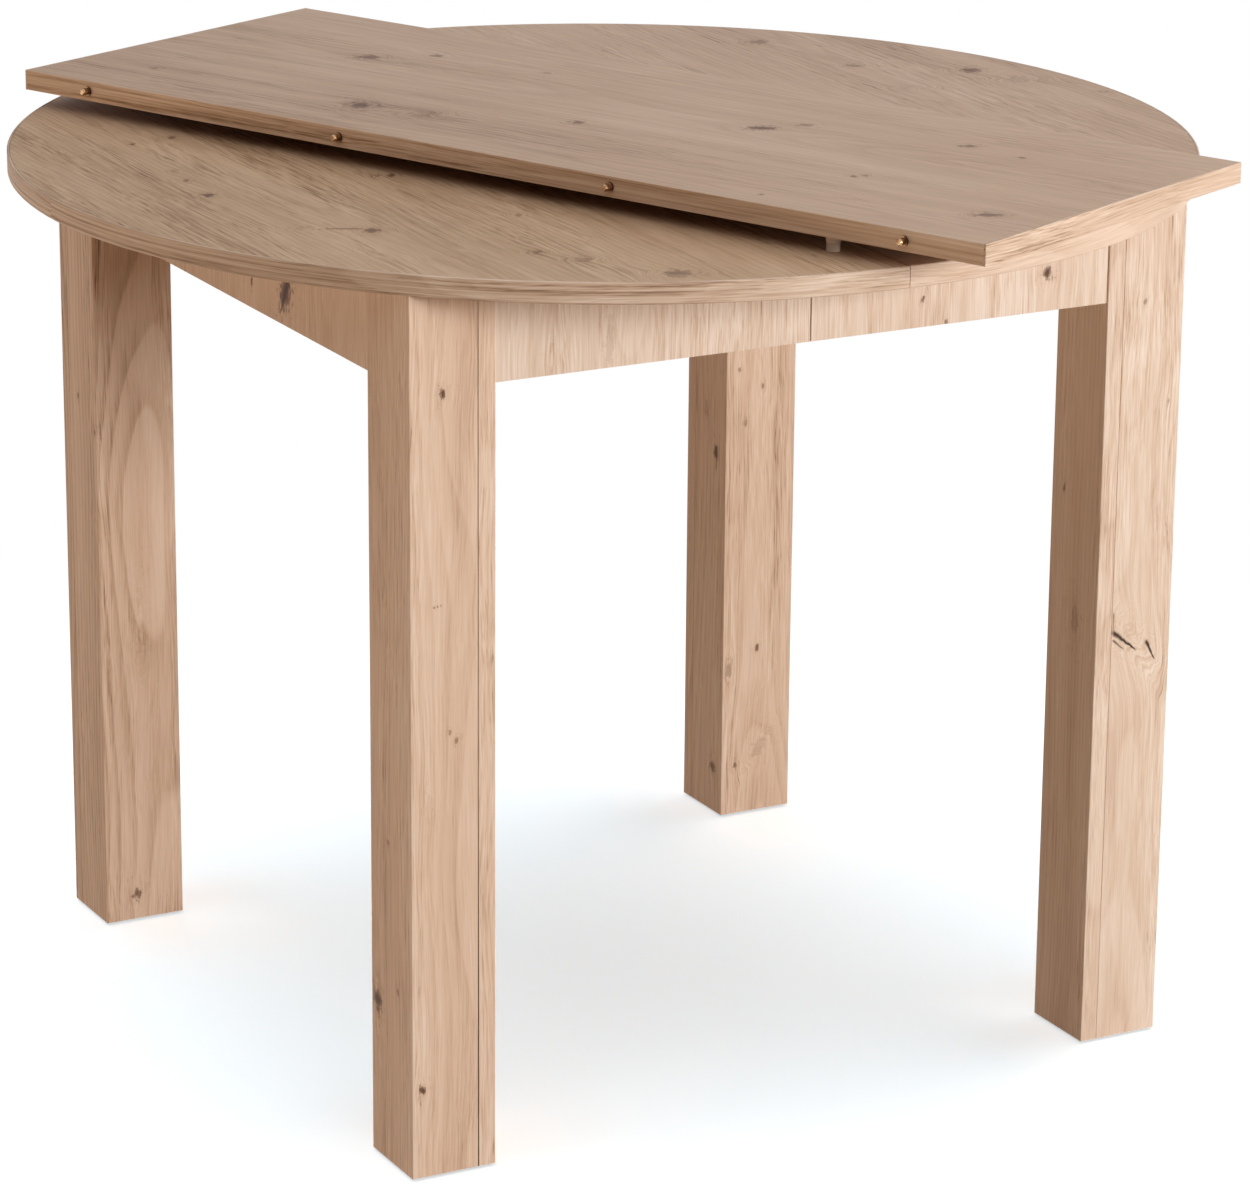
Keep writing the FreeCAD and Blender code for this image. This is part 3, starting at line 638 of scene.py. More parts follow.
@dataclass(frozen=True)
class WornLitEdges:
    """Edges of a box-shaped board, rubbed and lightened as a painted highlight: its middle and
    half sizes, in metres.
    """

    middle: Triple
    half: Triple
    reach: float = 0.0022

    skin = (0.0004, 0.0002)

    def off_middle(self, recipe: Recipe, board: Socket) -> tuple[Socket, Socket, Socket]:
        """How far the place is from the board's middle along each axis."""
        away = recipe.vector("SUBTRACT", board, self.middle)
        return recipe.split(recipe.vector("ABSOLUTE", away))

    def sides(self, recipe: Recipe, board: Socket) -> Socket:
        """Finds the two long edges, as 1 on them and 0 elsewhere."""
        edges = (self.half[0] - skin for skin in self.skin)
        return recipe.ease(self.off_middle(recipe, board)[0], *edges)

    def mask(self, recipe: Recipe, board: Socket) -> Socket:
        """Finds the edges.

        Args:
            recipe: the material's recipe.
            board: the place on the board.

        Returns:
            A number that is 1 on an edge and 0 away from it.
        """
        off = self.off_middle(recipe, board)
        x, y, z = (recipe.ease(at, end - self.reach, end) for at, end in zip(off, self.half))
        upright = recipe.most(recipe.times(x, y), recipe.times(y, z))
        return recipe.most(upright, recipe.times(x, z))


class Layers(NamedTuple):
    """What a finish comes to: its colour, its roughness and its normal."""

    colour: Socket
    rough: Socket
    normal: Socket


class Finish:
    """A finish that is worked out layer by layer from the place on its piece."""

    gloss = 0.5
    metallic = 0.0

    def layers(self, recipe: Recipe) -> Layers:
        """Works the finish out.

        Args:
            recipe: the material's recipe.

        Returns:
            Its colour, roughness and normal.
        """
        raise NotImplementedError

    def material(self, name: str) -> bpy.types.Material:
        """Makes the finish.

        Args:
            name: the material's name.

        Returns:
            The material.
        """
        material = bpy.data.materials.new(name)
        recipe = fresh_recipe(material)
        shader = recipe.node("BsdfPrincipled")
        for socket, value in zip(("Base Color", "Roughness", "Normal"), self.layers(recipe)):
            recipe.feed(shader.inputs[socket], value)
        shader.inputs["Specular IOR Level"].default_value = self.gloss
        shader.inputs["Metallic"].default_value = self.metallic
        recipe.node("OutputMaterial", shader.outputs[0])
        return material


class Marks(NamedTuple):
    """What the knots do to a board: the bent grain's place, and where their parts show."""

    place: Socket
    heart: Input = 0.0
    halo: Input = 0.0
    rings: Input = 0.0
    split: Input = 0.0


@dataclass(frozen=True)
class OakPrint(Finish):
    """Printed oak on one board."""

    tone: Tone
    board: Union[Board, Rim]
    seed: float
    stave: float = 0.35
    shift: float = 0.175
    spacing: float = 0.0055
    lift: float = 0.0
    knots: tuple[Knot, ...] = ()
    worn_lit_edges: Union[WornLitEdges, None] = None
    banded: float = 0.0
    figure: float = 0.1
    grain: float = 0.7
    edge: Union[Tone, None] = None
    # A painted light gradient across the board.
    painted_light_slope: Triple = (0.0, 0.0, 0.0)
    # Where a groove runs along the board; painted shadow is drawn in it.
    joint: Union[float, None] = None

    gloss = 0.15
    outline = Cloud((240, 130, 240), 3.0, 0.7)
    ring_light = 0.055
    halo_light = -0.13
    heart_share = 0.92
    heart_shade = (88, 51, 29)
    split_shade = (66, 46, 34)
    band_stripe = Cloud((420, 2.4, 420), rough=0.6)
    band_contrast = 5.0
    band_from = (0.86, 1.04)
    rub = Cloud((90, 40, 90), 3.0)
    wear_and_highlight_light = 0.3
    rub_shine = -0.12
    strip = Cloud((420, 3.0, 420), 3.0, 0.6)
    strip_contrast = 1.1
    joint_edge = (0.0008, 0.0003)
    groove_shadow_fades = (0.4, 0.1)
    groove_shadow_share = (0.55, 0.4)
    painted_groove_shadow = (104, 74, 54)
    furrow = Cloud((800, 14, 800), rough=0.6)
    relief = (0.22, 0.00025)

    def marks(self, recipe: Recipe, flat: Socket) -> Marks:
        """Draws every knot of the board.

        Args:
            recipe: the material's recipe.
            flat: the place on the board.

        Returns:
            What the knots do to the board.
        """
        marks = Marks(flat)
        if not self.knots:
            return marks
        ragged = recipe.swing(flat, self.outline)
        for knot in self.knots:
            drawn = KNOT.use(
                recipe,
                Board=flat,
                Centre=(knot.across * MM, knot.along * MM, knot.through * MM),
                Size=(knot.width * MM, knot.length * MM, knot.width * MM),
                Tilt=knot.tilt,
                Ragged=ragged,
            )
            marks = Marks(
                recipe.vector("ADD", marks.place, drawn["Bend"]),
                recipe.most(marks.heart, recipe.times(drawn["Heart"], knot.depth())),
                recipe.most(marks.halo, recipe.times(drawn["Halo"], knot.dark)),
                recipe.plus(marks.rings, drawn["Rings"]),
                recipe.most(marks.split, recipe.times(drawn["Split"], knot.split)),
            )
        return marks

    def shaded(self, recipe: Recipe, flat: Socket, marks: Marks, light: Socket) -> Socket:
        """Adds the board's own lightness, a painted light gradient across the board, its knots'
        shade and a rim's dark stripes.

        Args:
            recipe: the material's recipe.
            flat: the place on the board.
            marks: what the knots do.
            light: how light the oak is.

        Returns:
            How light the board is.
        """
        light = recipe.plus(light, self.lift)
        # Painted light gradient: lighter towards one side of the board, as where light falls off
        # across it.
        if any(self.painted_light_slope):
            light = recipe.plus(light, recipe.vector("DOT_PRODUCT", flat, self.painted_light_slope))
        if self.knots:
            light = recipe.share(marks.rings, self.ring_light, light)
            light = recipe.share(marks.halo, self.halo_light, light)
        if self.banded:
            run = recipe.size(recipe.split(flat)[1])
            far = recipe.times(recipe.ease(run, *self.band_from), self.banded)
            stripe = recipe.swing(flat, self.band_stripe)
            light = recipe.share(far, recipe.share(stripe, self.band_contrast, -1.0), light)
        return light

    def coloured(self, recipe: Recipe, flat: Socket, marks: Marks, light: Socket) -> Socket:
        """Turns lightness into oak's shades, then adds edge strips, knots and painted shadow in a
        board's joint.

        Args:
            recipe: the material's recipe.
            flat: the place on the board.
            marks: what the knots do.
            light: how light the board is.

        Returns:
            The colour.
        """
        colour = recipe.ramp(light, self.tone.stops())
        if self.edge and self.worn_lit_edges:
            banding = recipe.share(recipe.swing(flat, self.strip), self.strip_contrast, light)
            strip = recipe.ramp(banding, self.edge.stops())
            colour = recipe.blend(self.worn_lit_edges.sides(recipe, flat), colour, strip)
        if self.knots:
            heart = recipe.times(marks.heart, self.heart_share)
            colour = recipe.blend(heart, colour, paint(*self.heart_shade))
            colour = recipe.blend(marks.split, colour, paint(*self.split_shade))
        if self.joint is not None:
            # Painted shadow in the groove where a leg's shell meets its cover, darker towards the
            # bottom.
            across, along, _ = recipe.split(flat)
            off = recipe.size(recipe.less(across, self.joint))
            groove_shadow_strength = recipe.share(recipe.ease(along, *self.groove_shadow_fades), *self.groove_shadow_share)
            line = recipe.times(recipe.ease(off, *self.joint_edge), groove_shadow_strength)
            colour = recipe.blend(line, colour, paint(*self.painted_groove_shadow))
        return colour

    def layers(self, recipe: Recipe) -> Layers:
        """Works the print out.

        Args:
            recipe: the material's recipe.

        Returns:
            Its colour, roughness and normal.
        """
        flat = self.board.place(recipe)
        marks = self.marks(recipe, flat)
        oak = OAK.use(
            recipe,
            Board=marks.place,
            Seed=self.seed,
            Stave=self.stave,
            Shift=self.shift,
            Spacing=self.spacing,
            Figure=self.figure,
            Grain=self.grain,
        )
        light = self.shaded(recipe, flat, marks, oak["Light"])
        shine = oak["Shine"]
        if self.worn_lit_edges:
            # Edges lightened: partly rubbed wear, partly a painted highlight where the corners
            # catch the light.
            rub = recipe.times(self.worn_lit_edges.mask(recipe, flat), recipe.level(flat, self.rub))
            light = recipe.share(rub, self.wear_and_highlight_light, light)
            shine = recipe.share(rub, self.rub_shine, shine)
        colour = self.coloured(recipe, flat, marks, light)
        return Layers(colour, shine, recipe.bump(recipe.level(flat, self.furrow), *self.relief))


@dataclass(frozen=True)
class Chipboard(Finish):
    """Pressed wood chips, as on a board's raw faces."""

    shift: float = 0.3

    gloss = 0.2
    chips = 330.0
    crumple = Cloud((260, 260, 260))
    crumple_push = (0.003, 0.003, 0.003)
    grit = Cloud((900, 900, 900), 3.0)
    grit_light = 0.5
    plain_rough = 0.78
    grit_rough = 0.2
    relief = (0.4, 0.0004)
    shades = ((0.0, (138, 104, 72)), (0.45, (186, 152, 112)), (1.0, (214, 186, 146)))

    def layers(self, recipe: Recipe) -> Layers:
        """Works the chips out.

        Args:
            recipe: the material's recipe.

        Returns:
            Their colour, roughness and normal.
        """
        place = recipe.own_place(self.shift)
        crumple = recipe.noise(place, self.crumple).outputs["Color"]
        bent = recipe.vector("MULTIPLY_ADD", crumple, self.crumple_push, place)
        grit = recipe.swing(place, self.grit)
        light = recipe.share(grit, self.grit_light, recipe.cells(bent, self.chips))
        rough = recipe.share(grit, self.grit_rough, self.plain_rough)
        return Layers(recipe.ramp(light, self.shades), rough, recipe.bump(light, *self.relief))


@dataclass(frozen=True)
class Beech(Finish):
    """Planed beech, its grain along the table's X, with short dark flecks."""

    shift: float = 0.0

    gloss = 0.3
    plain_light = 0.6
    streak = Cloud((1.4, 60, 60), 3.0)
    streak_light = 0.9
    fibre = Cloud((10, 700, 700))
    fibre_light = 0.4
    fleck = Cloud((190, 1500, 1500), 1.0)
    fleck_edge = (0.62, 0.7)
    fleck_light = -0.3
    plain_rough = 0.5
    fibre_rough = 0.3
    relief = (0.2, 0.0002)
    shades = ((0.1, (158, 112, 78)), (0.5, (205, 162, 122)), (0.9, (226, 190, 152)))

    def layers(self, recipe: Recipe) -> Layers:
        """Works the beech out.

        Args:
            recipe: the material's recipe.

        Returns:
            Its colour, roughness and normal.
        """
        place = recipe.own_place(self.shift)
        fibre = recipe.swing(place, self.fibre)
        fleck = recipe.ease(recipe.level(place, self.fleck), *self.fleck_edge)
        light = recipe.swing(place, self.streak)
        light = recipe.share(light, self.streak_light, self.plain_light)
        light = recipe.share(fibre, self.fibre_light, light)
        light = recipe.share(fleck, self.fleck_light, light)
        rough = recipe.share(fibre, self.fibre_rough, self.plain_rough)
        return Layers(recipe.ramp(light, self.shades), rough, recipe.bump(fibre, *self.relief))


@dataclass(frozen=True)
class Metal(Finish):
    """A plated or polished metal with drawn lines, clouded tarnish and fine scratches."""

    clean: Shade
    dull: Shade
    rough: float
    spangle: float = 0.0
    # A seat and reach for painted shade of the bore round a pin's collar.
    seat: Union[Board, None] = None
    bore_shade_reach: float = 0.0019

    metallic = 1.0
    bore_shade_soft = 0.0003
    tarnish = Cloud((120, 120, 120), 4.0, 0.6)
    tarnish_edge = (0.42, 0.68)
    tarnish_rough = 0.16
    scratch = Cloud((90, 900, 2400))
    scratch_rough = 0.2
    spangles = 220.0
    relief = (0.15, 0.00008)

    def layers(self, recipe: Recipe) -> Layers:
        """Works the metal out.

        Args:
            recipe: the material's recipe.

        Returns:
            Its colour, roughness and normal.
        """
        place = recipe.own_place()
        scratch = recipe.swing(place, self.scratch)
        dull = recipe.ease(recipe.level(place, self.tarnish), *self.tarnish_edge)
        if self.spangle:
            dull = recipe.share(recipe.cells(place, self.spangles), self.spangle, dull)
        # Painted shade of the bore: close to the seat the metal takes its dull colour all round.
        if self.seat:
            rise = recipe.split(self.seat.place(recipe))[2]
            edges = self.bore_shade_reach + self.bore_shade_soft, self.bore_shade_reach - self.bore_shade_soft
            dull = recipe.most(dull, recipe.ease(rise, *edges))
        colour = recipe.blend(dull, paint(*self.clean), paint(*self.dull))
        rough = recipe.share(dull, self.tarnish_rough, self.rough)
        rough = recipe.share(scratch, self.scratch_rough, rough)
        return Layers(colour, rough, recipe.bump(scratch, *self.relief))


@dataclass(frozen=True)
class Plastic(Finish):
    """Moulded plastic with a fine skin texture and rubbed patches."""

    fresh: Shade
    rubbed: Shade
    rough: float = 0.45
    # A lighter colour above a height: a painted highlight.
    painted_highlight_cap: Union[Shade, None] = None
    highlight_from: float = 0.0

    gloss = 0.4
    highlight_soft = 0.0001
    skin = Cloud((1400, 1400, 1400))
    skin_rough = 0.2
    rub = Cloud((70, 70, 70), 4.0, 0.6)
    rub_edge = (0.45, 0.72)
    rub_rough = -0.1
    relief = (0.12, 0.0001)

    def layers(self, recipe: Recipe) -> Layers:
        """Works the plastic out.

        Args:
            recipe: the material's recipe.

        Returns:
            Its colour, roughness and normal.
        """
        place = recipe.own_place()
        skin = recipe.swing(place, self.skin)
        rub = recipe.ease(recipe.level(place, self.rub), *self.rub_edge)
        colour = recipe.blend(rub, paint(*self.fresh), paint(*self.rubbed))
        # Painted highlight: above the given height the piece is drawn lighter, where a peg's top
        # catches the light.
        if self.painted_highlight_cap:
            rise = recipe.split(place)[2]
            edges = self.highlight_from - self.highlight_soft, self.highlight_from + self.highlight_soft
            colour = recipe.blend(recipe.ease(rise, *edges), colour, paint(*self.painted_highlight_cap))
        rough = recipe.share(skin, self.skin_rough, self.rough)
        rough = recipe.share(rub, self.rub_rough, rough)
        return Layers(colour, rough, recipe.bump(skin, *self.relief))


def dress(material: bpy.types.Material, *names: str) -> None:
    """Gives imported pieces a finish.

    Args:
        material: the finish.
        names: the pieces' names.
    """
    for name in names:
        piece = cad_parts[name]
        if piece.material_slots:
            for slot in piece.material_slots:
                slot.material = material
        else:
            piece.data.materials.append(material)
    LOG.info("%s: %s", material.name, ", ".join(names))


@dataclass
class RoundTop:
    """The two half-disc boards of the top and the bands round their rims."""

    centre: Triple = (0.0, MIDDLE_Y, TOP_HEIGHT)
    radius: float = 0.52
    knot_tilt: float = -1.1
    ring_spacing: float = 0.006

    def left_knots(self) -> tuple[Knot, ...]:
        """Lists the left half's knots.

        Returns:
            The knots, the last of them hidden by the leaf.
        """
        shown = face_knots(
            self.knot_tilt,
            (-399, -49, 8, 5.5),
            (-394, 10, 5, 3.4, 0.8),
            (-390, 48, 6, 3.4, 0.5),
            (-379, 160, 4, 2.4, 0.9),
            (-339, 168, 6, 4.4, 0.8),
            (-230, -49, 6, 3.8, 0.9),
            (-241, -45, 4, 3.4, 0.6),
            (-330, -223, 10, 7, 0.9),
            (-347, -208, 3.4, 16, 0.7, 0.3),
            (-375, -194, 10, 11, 0.4),
            (-244, -348, 7, 6, 0.7),
            (-223, -386, 9, 8, 0.55),
            (-176, -459, 16, 12, 0.65, 0.35),
            (-199, -227, 5, 4, 0.6),
        )
        return (*shown, Knot(-120, 240, 0, 9, 12, 0.1))

    def right_knots(self) -> tuple[Knot, ...]:
        """Lists the right half's knots.

        Returns:
            The knots, the last two of them hidden by the leaf.
        """
        shown = face_knots(
            self.knot_tilt,
            (447, 112, 12, 11, 0.85, 0.25),
            (464, 57, 17, 14, 0.45),
            (359, 178, 8, 8, 0.65),
            (333, 315, 10, 11, 0.65),
            (506, -25, 5, 7, 0.5),
            (357, 67, 11, 13, 0.35),
        )
        return (*shown, Knot(150, -320, 0, 10, 14, 0.3), Knot(300, -160, 0, 6, 9))

    def build(self) -> None:
        """Dresses both halves and the bands round them."""
        board = Board(self.centre, RIGHT, REAR, UP)
        # The left half's darker tone is painted shade; the right half shares the leaf's print.
        left = OakPrint(
            Tone.SHADED_TOP, board, seed=3.0, stave=0.21, shift=0.02, spacing=self.ring_spacing,
            # The slope below is a painted light gradient: the half turns darker towards its near
            # left.
            lift=0.09, knots=self.left_knots(), grain=0.85, painted_light_slope=(0.15, -0.15, 0.0),
        )
        right = OakPrint(
            Tone.LEAF, board, seed=8.0, stave=0.24, shift=0.0, spacing=self.ring_spacing,
            knots=self.right_knots(),
        )
        dress(left.material("oak_left_top"), "left_half_top")
        dress(right.material("oak_right_top"), "right_half_top")
        x, y, z = self.centre
        rim = Rim((x, y, z - BOARD_THICKNESS), self.radius)
        for side, seed, lift in (("left", 12.0, 0.0), ("right", 14.0, -0.06)):
            band = OakPrint(
                Tone.PALE, rim, seed, stave=0.05, shift=0.016, spacing=0.0045,
                lift=lift, banded=0.27, figure=0.12, grain=0.65,
            )
            dress(band.material("oak_%s_edge" % side), side + "_top_edge_band")


@dataclass
class LooseLeaf:
    """The leaf that lies turned on the closed top, with its end bands."""

    middle: Triple = (-0.0166, -0.00625, 0.807)
    turn: float = math.radians(-66.0)
    length: float = 1.04
    width: float = 0.38
    knot_tilt: float = 0.7
    peg_shoulder: float = 0.7828

    def axes(self) -> tuple[Triple, Triple]:
        """The leaf's directions across and along its grain."""
        sine, cosine = math.sin(self.turn), math.cos(self.turn)
        return (-sine, cosine, 0.0), (cosine, sine, 0.0)

    def pin_seat(self) -> Board:
        """Finds the face of the long edge that the pins stand out from.

        Returns:
            The face, as a board whose depth runs out along the pins.
        """
        across, along = self.axes()
        x, y, z = (at - way * self.width / 2 for at, way in zip(self.middle, across))
        return Board((x, y, z), along, UP, turned_round(across))

    def knots(self) -> tuple[Knot, ...]:
        """Lists the knots of the upper face.

        Returns:
            The knots.
        """
        return face_knots(
            self.knot_tilt,
            (52, -320, 11, 12, 0.8, 0.3),
            (95, -277, 7, 7, 0.75),
            (-111, -191, 15, 10, 0.95, 0.35),
            (-105, -126, 15, 17, 0.4),
            (-45, -2, 6, 6.5, 0.8),
            (38, 132, 10, 14, 0.9, 0.35),
            (73, 155, 6, 8, 0.65),
            (101, -152, 4, 4.5, 0.55),
            (94, 310, 6, 7.5, 0.8),
            (85, 370, 4, 3.4, 0.75),
            (-106, 464, 8, 12, 0.75, 0.3),
            (-62, 302, 4, 3.3, 0.75),
            (-53, 308, 4, 3.3, 0.65),
            (-164, 283, 3, 2.4, 0.75),
            (-109, -436, 4, 4, 0.55),
        )

    def build(self) -> None:
        """Dresses the board and its bands."""
        across, along = self.axes()
        half = BOARD_THICKNESS / 2
        leaf = OakPrint(
            Tone.LEAF, Board(self.middle, across, along, UP), seed=5.0,
            stave=0.19, shift=0.075, spacing=0.006, lift=0.01, knots=self.knots(),
            worn_lit_edges=WornLitEdges((0.0, 0.0, -half), (self.width / 2, self.length / 2, half)),
            # The slope below is a painted light gradient: the leaf turns lighter towards its right
            # end.
            grain=0.5, edge=Tone.EDGE, painted_light_slope=(0.0, 0.12, 0.0),
        )
        dress(leaf.material("oak_leaf"), "leaf_board")
        x, y, z = self.middle
        ends = OakPrint(
            Tone.PALE, Board((x, y, z - BOARD_THICKNESS), UP, across, along), seed=21.0,
            stave=0.06, shift=0.02, spacing=0.005, lift=-0.16,
        )
        dress(ends.material("oak_leaf_ends"), "leaf_end_bands")


@dataclass(frozen=True)
class LegPrint:
    """How one leg's print differs from the others'."""

    tone: Tone
    shell_knots: tuple[Knot, ...]
    lift: float
    figure: float
    cover_knots: tuple[Knot, ...] = ()
    joint: Union[float, None] = None


@dataclass
class BoxLegs:
    """The four square legs, each a folded shell and a closing board, with blocks inside."""

    low: float = 0.002
    high: float = 0.757
    wall: float = 0.016
    # How far the rubbed edges reach; they also carry a painted highlight.
    rubbed: float = 0.0016
    ring_spacing: float = 0.005
    first_seeds: Pair = (31.0, 52.0)
    seed_step: float = 3.0

    def prints(self) -> dict[str, LegPrint]:
        """Lists each leg's print.

        Returns:
            The prints by the legs' names, with knots on the front and left faces.
        """
        face = LEG_WIDTH / 2 / MM
        front_left = (
            Knot(-8.5, 674.6, face, 3.2, 4.5),
            Knot(-29, 80, face, 3.5, 4.5),
            Knot(-17, 497, face, 1, 1.4, 0.0, 0.8),
            Knot(-14, 497.5, face, 0.9, 1.2, 0.0, 0.8),
            Knot(-11, 498, face, 0.8, 1.1, 0.0, 0.7),
            Knot(-3, 389, face, 1.5, 3, 0.3, 0.7),
            Knot(3, 381, face, 2, 3.5, 0.3, 0.7),
            Knot(-22, 326, face, 3, 14, 0.0, 0.35),
            Knot(-face, 139, -26.5, 7, 12, 0.3, 0.9, 0.5),
            Knot(-face, 286, -5.2, 2, 4, 0.2, 0.7),
            Knot(-face, 160, 12.2, 2, 4, 0.2, 0.7),
        )
        front_right = (
            Knot(4, 366, face, 11, 26, -0.5, 0.0),
            Knot(-9, 372, face, 9, 16, -0.9, 0.12, 1.0),
            Knot(-14.8, 369, face, 4, 8, -0.85, 0.12, 0.8),
            Knot(18.5, 360, face, 6.5, 10.5, -0.47, 0.15, 1.0),
            Knot(-20.5, 391, face, 2, 8, 0.0, 0.3, 0.9),
            Knot(-1, 674, face, 2, 3.5, 0.2, 0.7),
            Knot(27, 584, face, 1.6, 3, 0.2, 0.6),
        )
        front_right_cover = (
            Knot(-face, 386, 5, 7, 16, 0.1, 0.5),
            Knot(-face, 499, -19.5, 1.6, 5, 0.1, 0.9),
        )
        back_left = (
            Knot(-8, 27, face, 4, 6, 0.2, 0.9),
            Knot(1, 295, face, 5, 30, 0.0, 0.3),
            Knot(-face, 506, -2, 2, 4, 0.2, 0.8),
            Knot(-face, 479, 36, 2, 4, 0.2, 0.8),
        )
        back_right = (
            Knot(-face, 373, 19, 4, 8, 0.1, 1.0, 0.4),
            Knot(-face, 411, -2, 4, 9, 0.1, 0.5),
            Knot(-face, 48, 20, 5, 9, 0.5, 0.9),
            Knot(0, 172, face, 2.5, 4.5, 0.1, 0.9),
            Knot(-24, 459, face, 2, 3.5, 0.1, 0.7),
            Knot(2, 440, face, 2, 3.5, 0.1, 0.7),
            Knot(-17, 405, face, 2.5, 4, 0.1, 0.6),
            Knot(-31, 154, face, 4, 10, 0.1, 0.6),
            Knot(5, 69, face, 7, 16, 0.6, 0.45),
            Knot(-23, 53, face, 2.5, 4, 0.1, 0.8),
        )
        # The groove between the front left leg's shell and cover, where painted shadow is drawn.
        joint = LEG_WIDTH / 2 - self.wall
        return {
            "front_left": LegPrint(Tone.FRAME, front_left, lift=0.06, figure=0.14, joint=joint),
            # The front right leg's paler, less saturated print is partly its own print and partly
            # a painted highlight, where the key lamp falls strongest.
            "front_right": LegPrint(
                Tone.PALE, front_right, lift=-0.07, figure=0.12, cover_knots=front_right_cover
            ),
            "back_left": LegPrint(Tone.FRAME, back_left, lift=-0.08, figure=0.24),
            "back_right": LegPrint(Tone.FRAME, back_right, lift=0.02, figure=0.18),
        }

    def board(self, name: str) -> Board:
        """Finds a leg's own axes, from the floor up its middle.

        Args:
            name: the leg's name.

        Returns:
            Its board.
        """
        end, side = name.split("_")
        x = LEG_REACH if side == "right" else -LEG_REACH
        y = MIDDLE_Y + (LEG_REACH if end == "back" else -LEG_REACH)
        return Board((x, y, 0.0), RIGHT, UP, turned_round(REAR))

    def build(self) -> None:
        """Dresses every leg with its own print, and the blocks inside them."""
        half = LEG_WIDTH / 2
        middle, half_height = (self.high + self.low) / 2, (self.high - self.low) / 2
        worn_lit_edges = WornLitEdges((0.0, middle, 0.0), (half, half_height, half), self.rubbed)
        for number, (name, leg) in enumerate(self.prints().items()):
            parts = (("leg", "shell", leg.shell_knots), ("cover", "cover", leg.cover_knots))
            for first_seed, (title, part, knots) in zip(self.first_seeds, parts):
                oak = OakPrint(
                    leg.tone, self.board(name), first_seed + self.seed_step * number,
                    spacing=self.ring_spacing, lift=leg.lift, knots=knots, worn_lit_edges=worn_lit_edges,
                    figure=leg.figure, joint=leg.joint,
                )
                dress(oak.material("oak_%s_%s" % (name, title)), "%s_leg_%s" % (name, part))
        for side in ("left", "right"):
            chips = Chipboard().material("chipboard_%s" % side)
            dress(chips, side + "_leg_top_blocks", side + "_leg_foot_blocks")


@dataclass
class ApronFrame:
    """The split front and back aprons and the cross rails, all with upright grain."""

    front: float = -0.32706
    back: float = 0.40376
    side: float = 0.36541
    ring_spacing: float = 0.005
    apron_stave: float = 0.083
    rail_stave: float = 0.11

    def build(self) -> None:
        """Dresses every apron and rail with its own print."""
        front = Board((0.0, self.front, 0.0), RIGHT, UP, turned_round(REAR))
        back = Board((0.0, self.back, 0.0), turned_round(RIGHT), UP, REAR)
        left_marks = (Knot(-187, 700, 0, 4, 26, 0.0, 0.4), Knot(-240, 690, 0, 3, 12, 0.0, 0.3))
        right_marks = (
            Knot(229, 710, 0, 5, 6, 0.2, 1.0, 0.3),
            Knot(108, 702, 0, 2, 3.5, 0.5, 0.9),
            Knot(130, 679, 0, 1.6, 3, 0.2, 0.8),
        )
        back_marks = (Knot(-120, 712, 0, 4, 6, 0.3), Knot(190, 700, 0, 3, 5, 0.2))
        for name, board, seed, marks, lift in (
            # The front left half's higher lift is painted light, lifting the shade that the top's
            # overhang casts on it.
            ("front_left_half_apron", front, 71.0, left_marks, 0.12),
            ("front_right_half_apron", front, 74.0, right_marks, 0.0),
            ("back_left_half_apron", back, 77.0, back_marks, -0.05),
            ("back_right_half_apron", back, 79.0, back_marks, -0.08),
        ):
            oak = OakPrint(
                Tone.PALE, board, seed, stave=self.apron_stave, shift=0.03,
                spacing=self.ring_spacing, lift=lift, knots=marks,
            )
            dress(oak.material("oak_" + name), name)
        rail_marks = (Knot(-128, 705, 0, 12, 21, -0.5, 1.0, 0.8), Knot(-60, 700, 0, 2, 5))
        rails = (
            ("left_cross_rail", -self.side, turned_round(RIGHT), 83.0),
            ("right_cross_rail", self.side, RIGHT, 86.0),
        )
        for name, x, out, seed in rails:
            oak = OakPrint(
                Tone.FRAME, Board((x, MIDDLE_Y, 0.0), REAR, UP, out), seed, stave=self.rail_stave,
                shift=0.05, spacing=self.ring_spacing, lift=0.05, knots=rail_marks,
            )
            dress(oak.material("oak_" + name), name)


@dataclass
class Fittings:
    """The small metal and plastic pieces of the top, leaf, legs and frame."""

    brass: Metal = Metal((192, 158, 124), (98, 70, 50), rough=0.2)
    zinc: Metal = Metal((196, 199, 203), (158, 162, 168), rough=0.3, spangle=0.35)
    screw: Metal = Metal((208, 208, 206), (150, 148, 142), rough=0.26)
    socket: Plastic = Plastic((92, 70, 54), (116, 92, 72))
    glide: Plastic = Plastic((186, 156, 130), (206, 178, 152), rough=0.55)
    packing: Plastic = Plastic((40, 40, 42), (70, 70, 72), rough=0.5)
    # The peg's lighter top is a painted highlight.
    peg: Plastic = Plastic(
        (222, 202, 181), (232, 213, 194), 0.4, (250, 238, 226), LooseLeaf.peg_shoulder
    )

    def build(self) -> None:
        """Dresses pins, sockets, pegs, glides, angles, screws and packing."""
        dress(self.brass.material("brass"), "left_top_pins")
        # The leaf's pins carry painted shade of the bore round their collar.
        seated = replace(self.brass, seat=LooseLeaf().pin_seat())
        dress(seated.material("brass_leaf"), "leaf_pins")
        dress(self.socket.material("socket_plastic"), "right_top_sockets", "leaf_sockets")
        dress(self.peg.material("peg_plastic"), "leaf_pegs")
        dress(self.glide.material("glide_plastic"), "left_leg_glides", "right_leg_glides")
        zinc = self.zinc.material("zinc_plate")
        steel = self.screw.material("screw_steel")
        packing = self.packing.material("packing_plastic")
        for side in ("left", "right"):
            dress(zinc, side + "_leg_angles", side + "_top_angles")
            dress(steel, side + "_frame_screws", side + "_runner_screws")
            dress(packing, side + "_runner_packing")


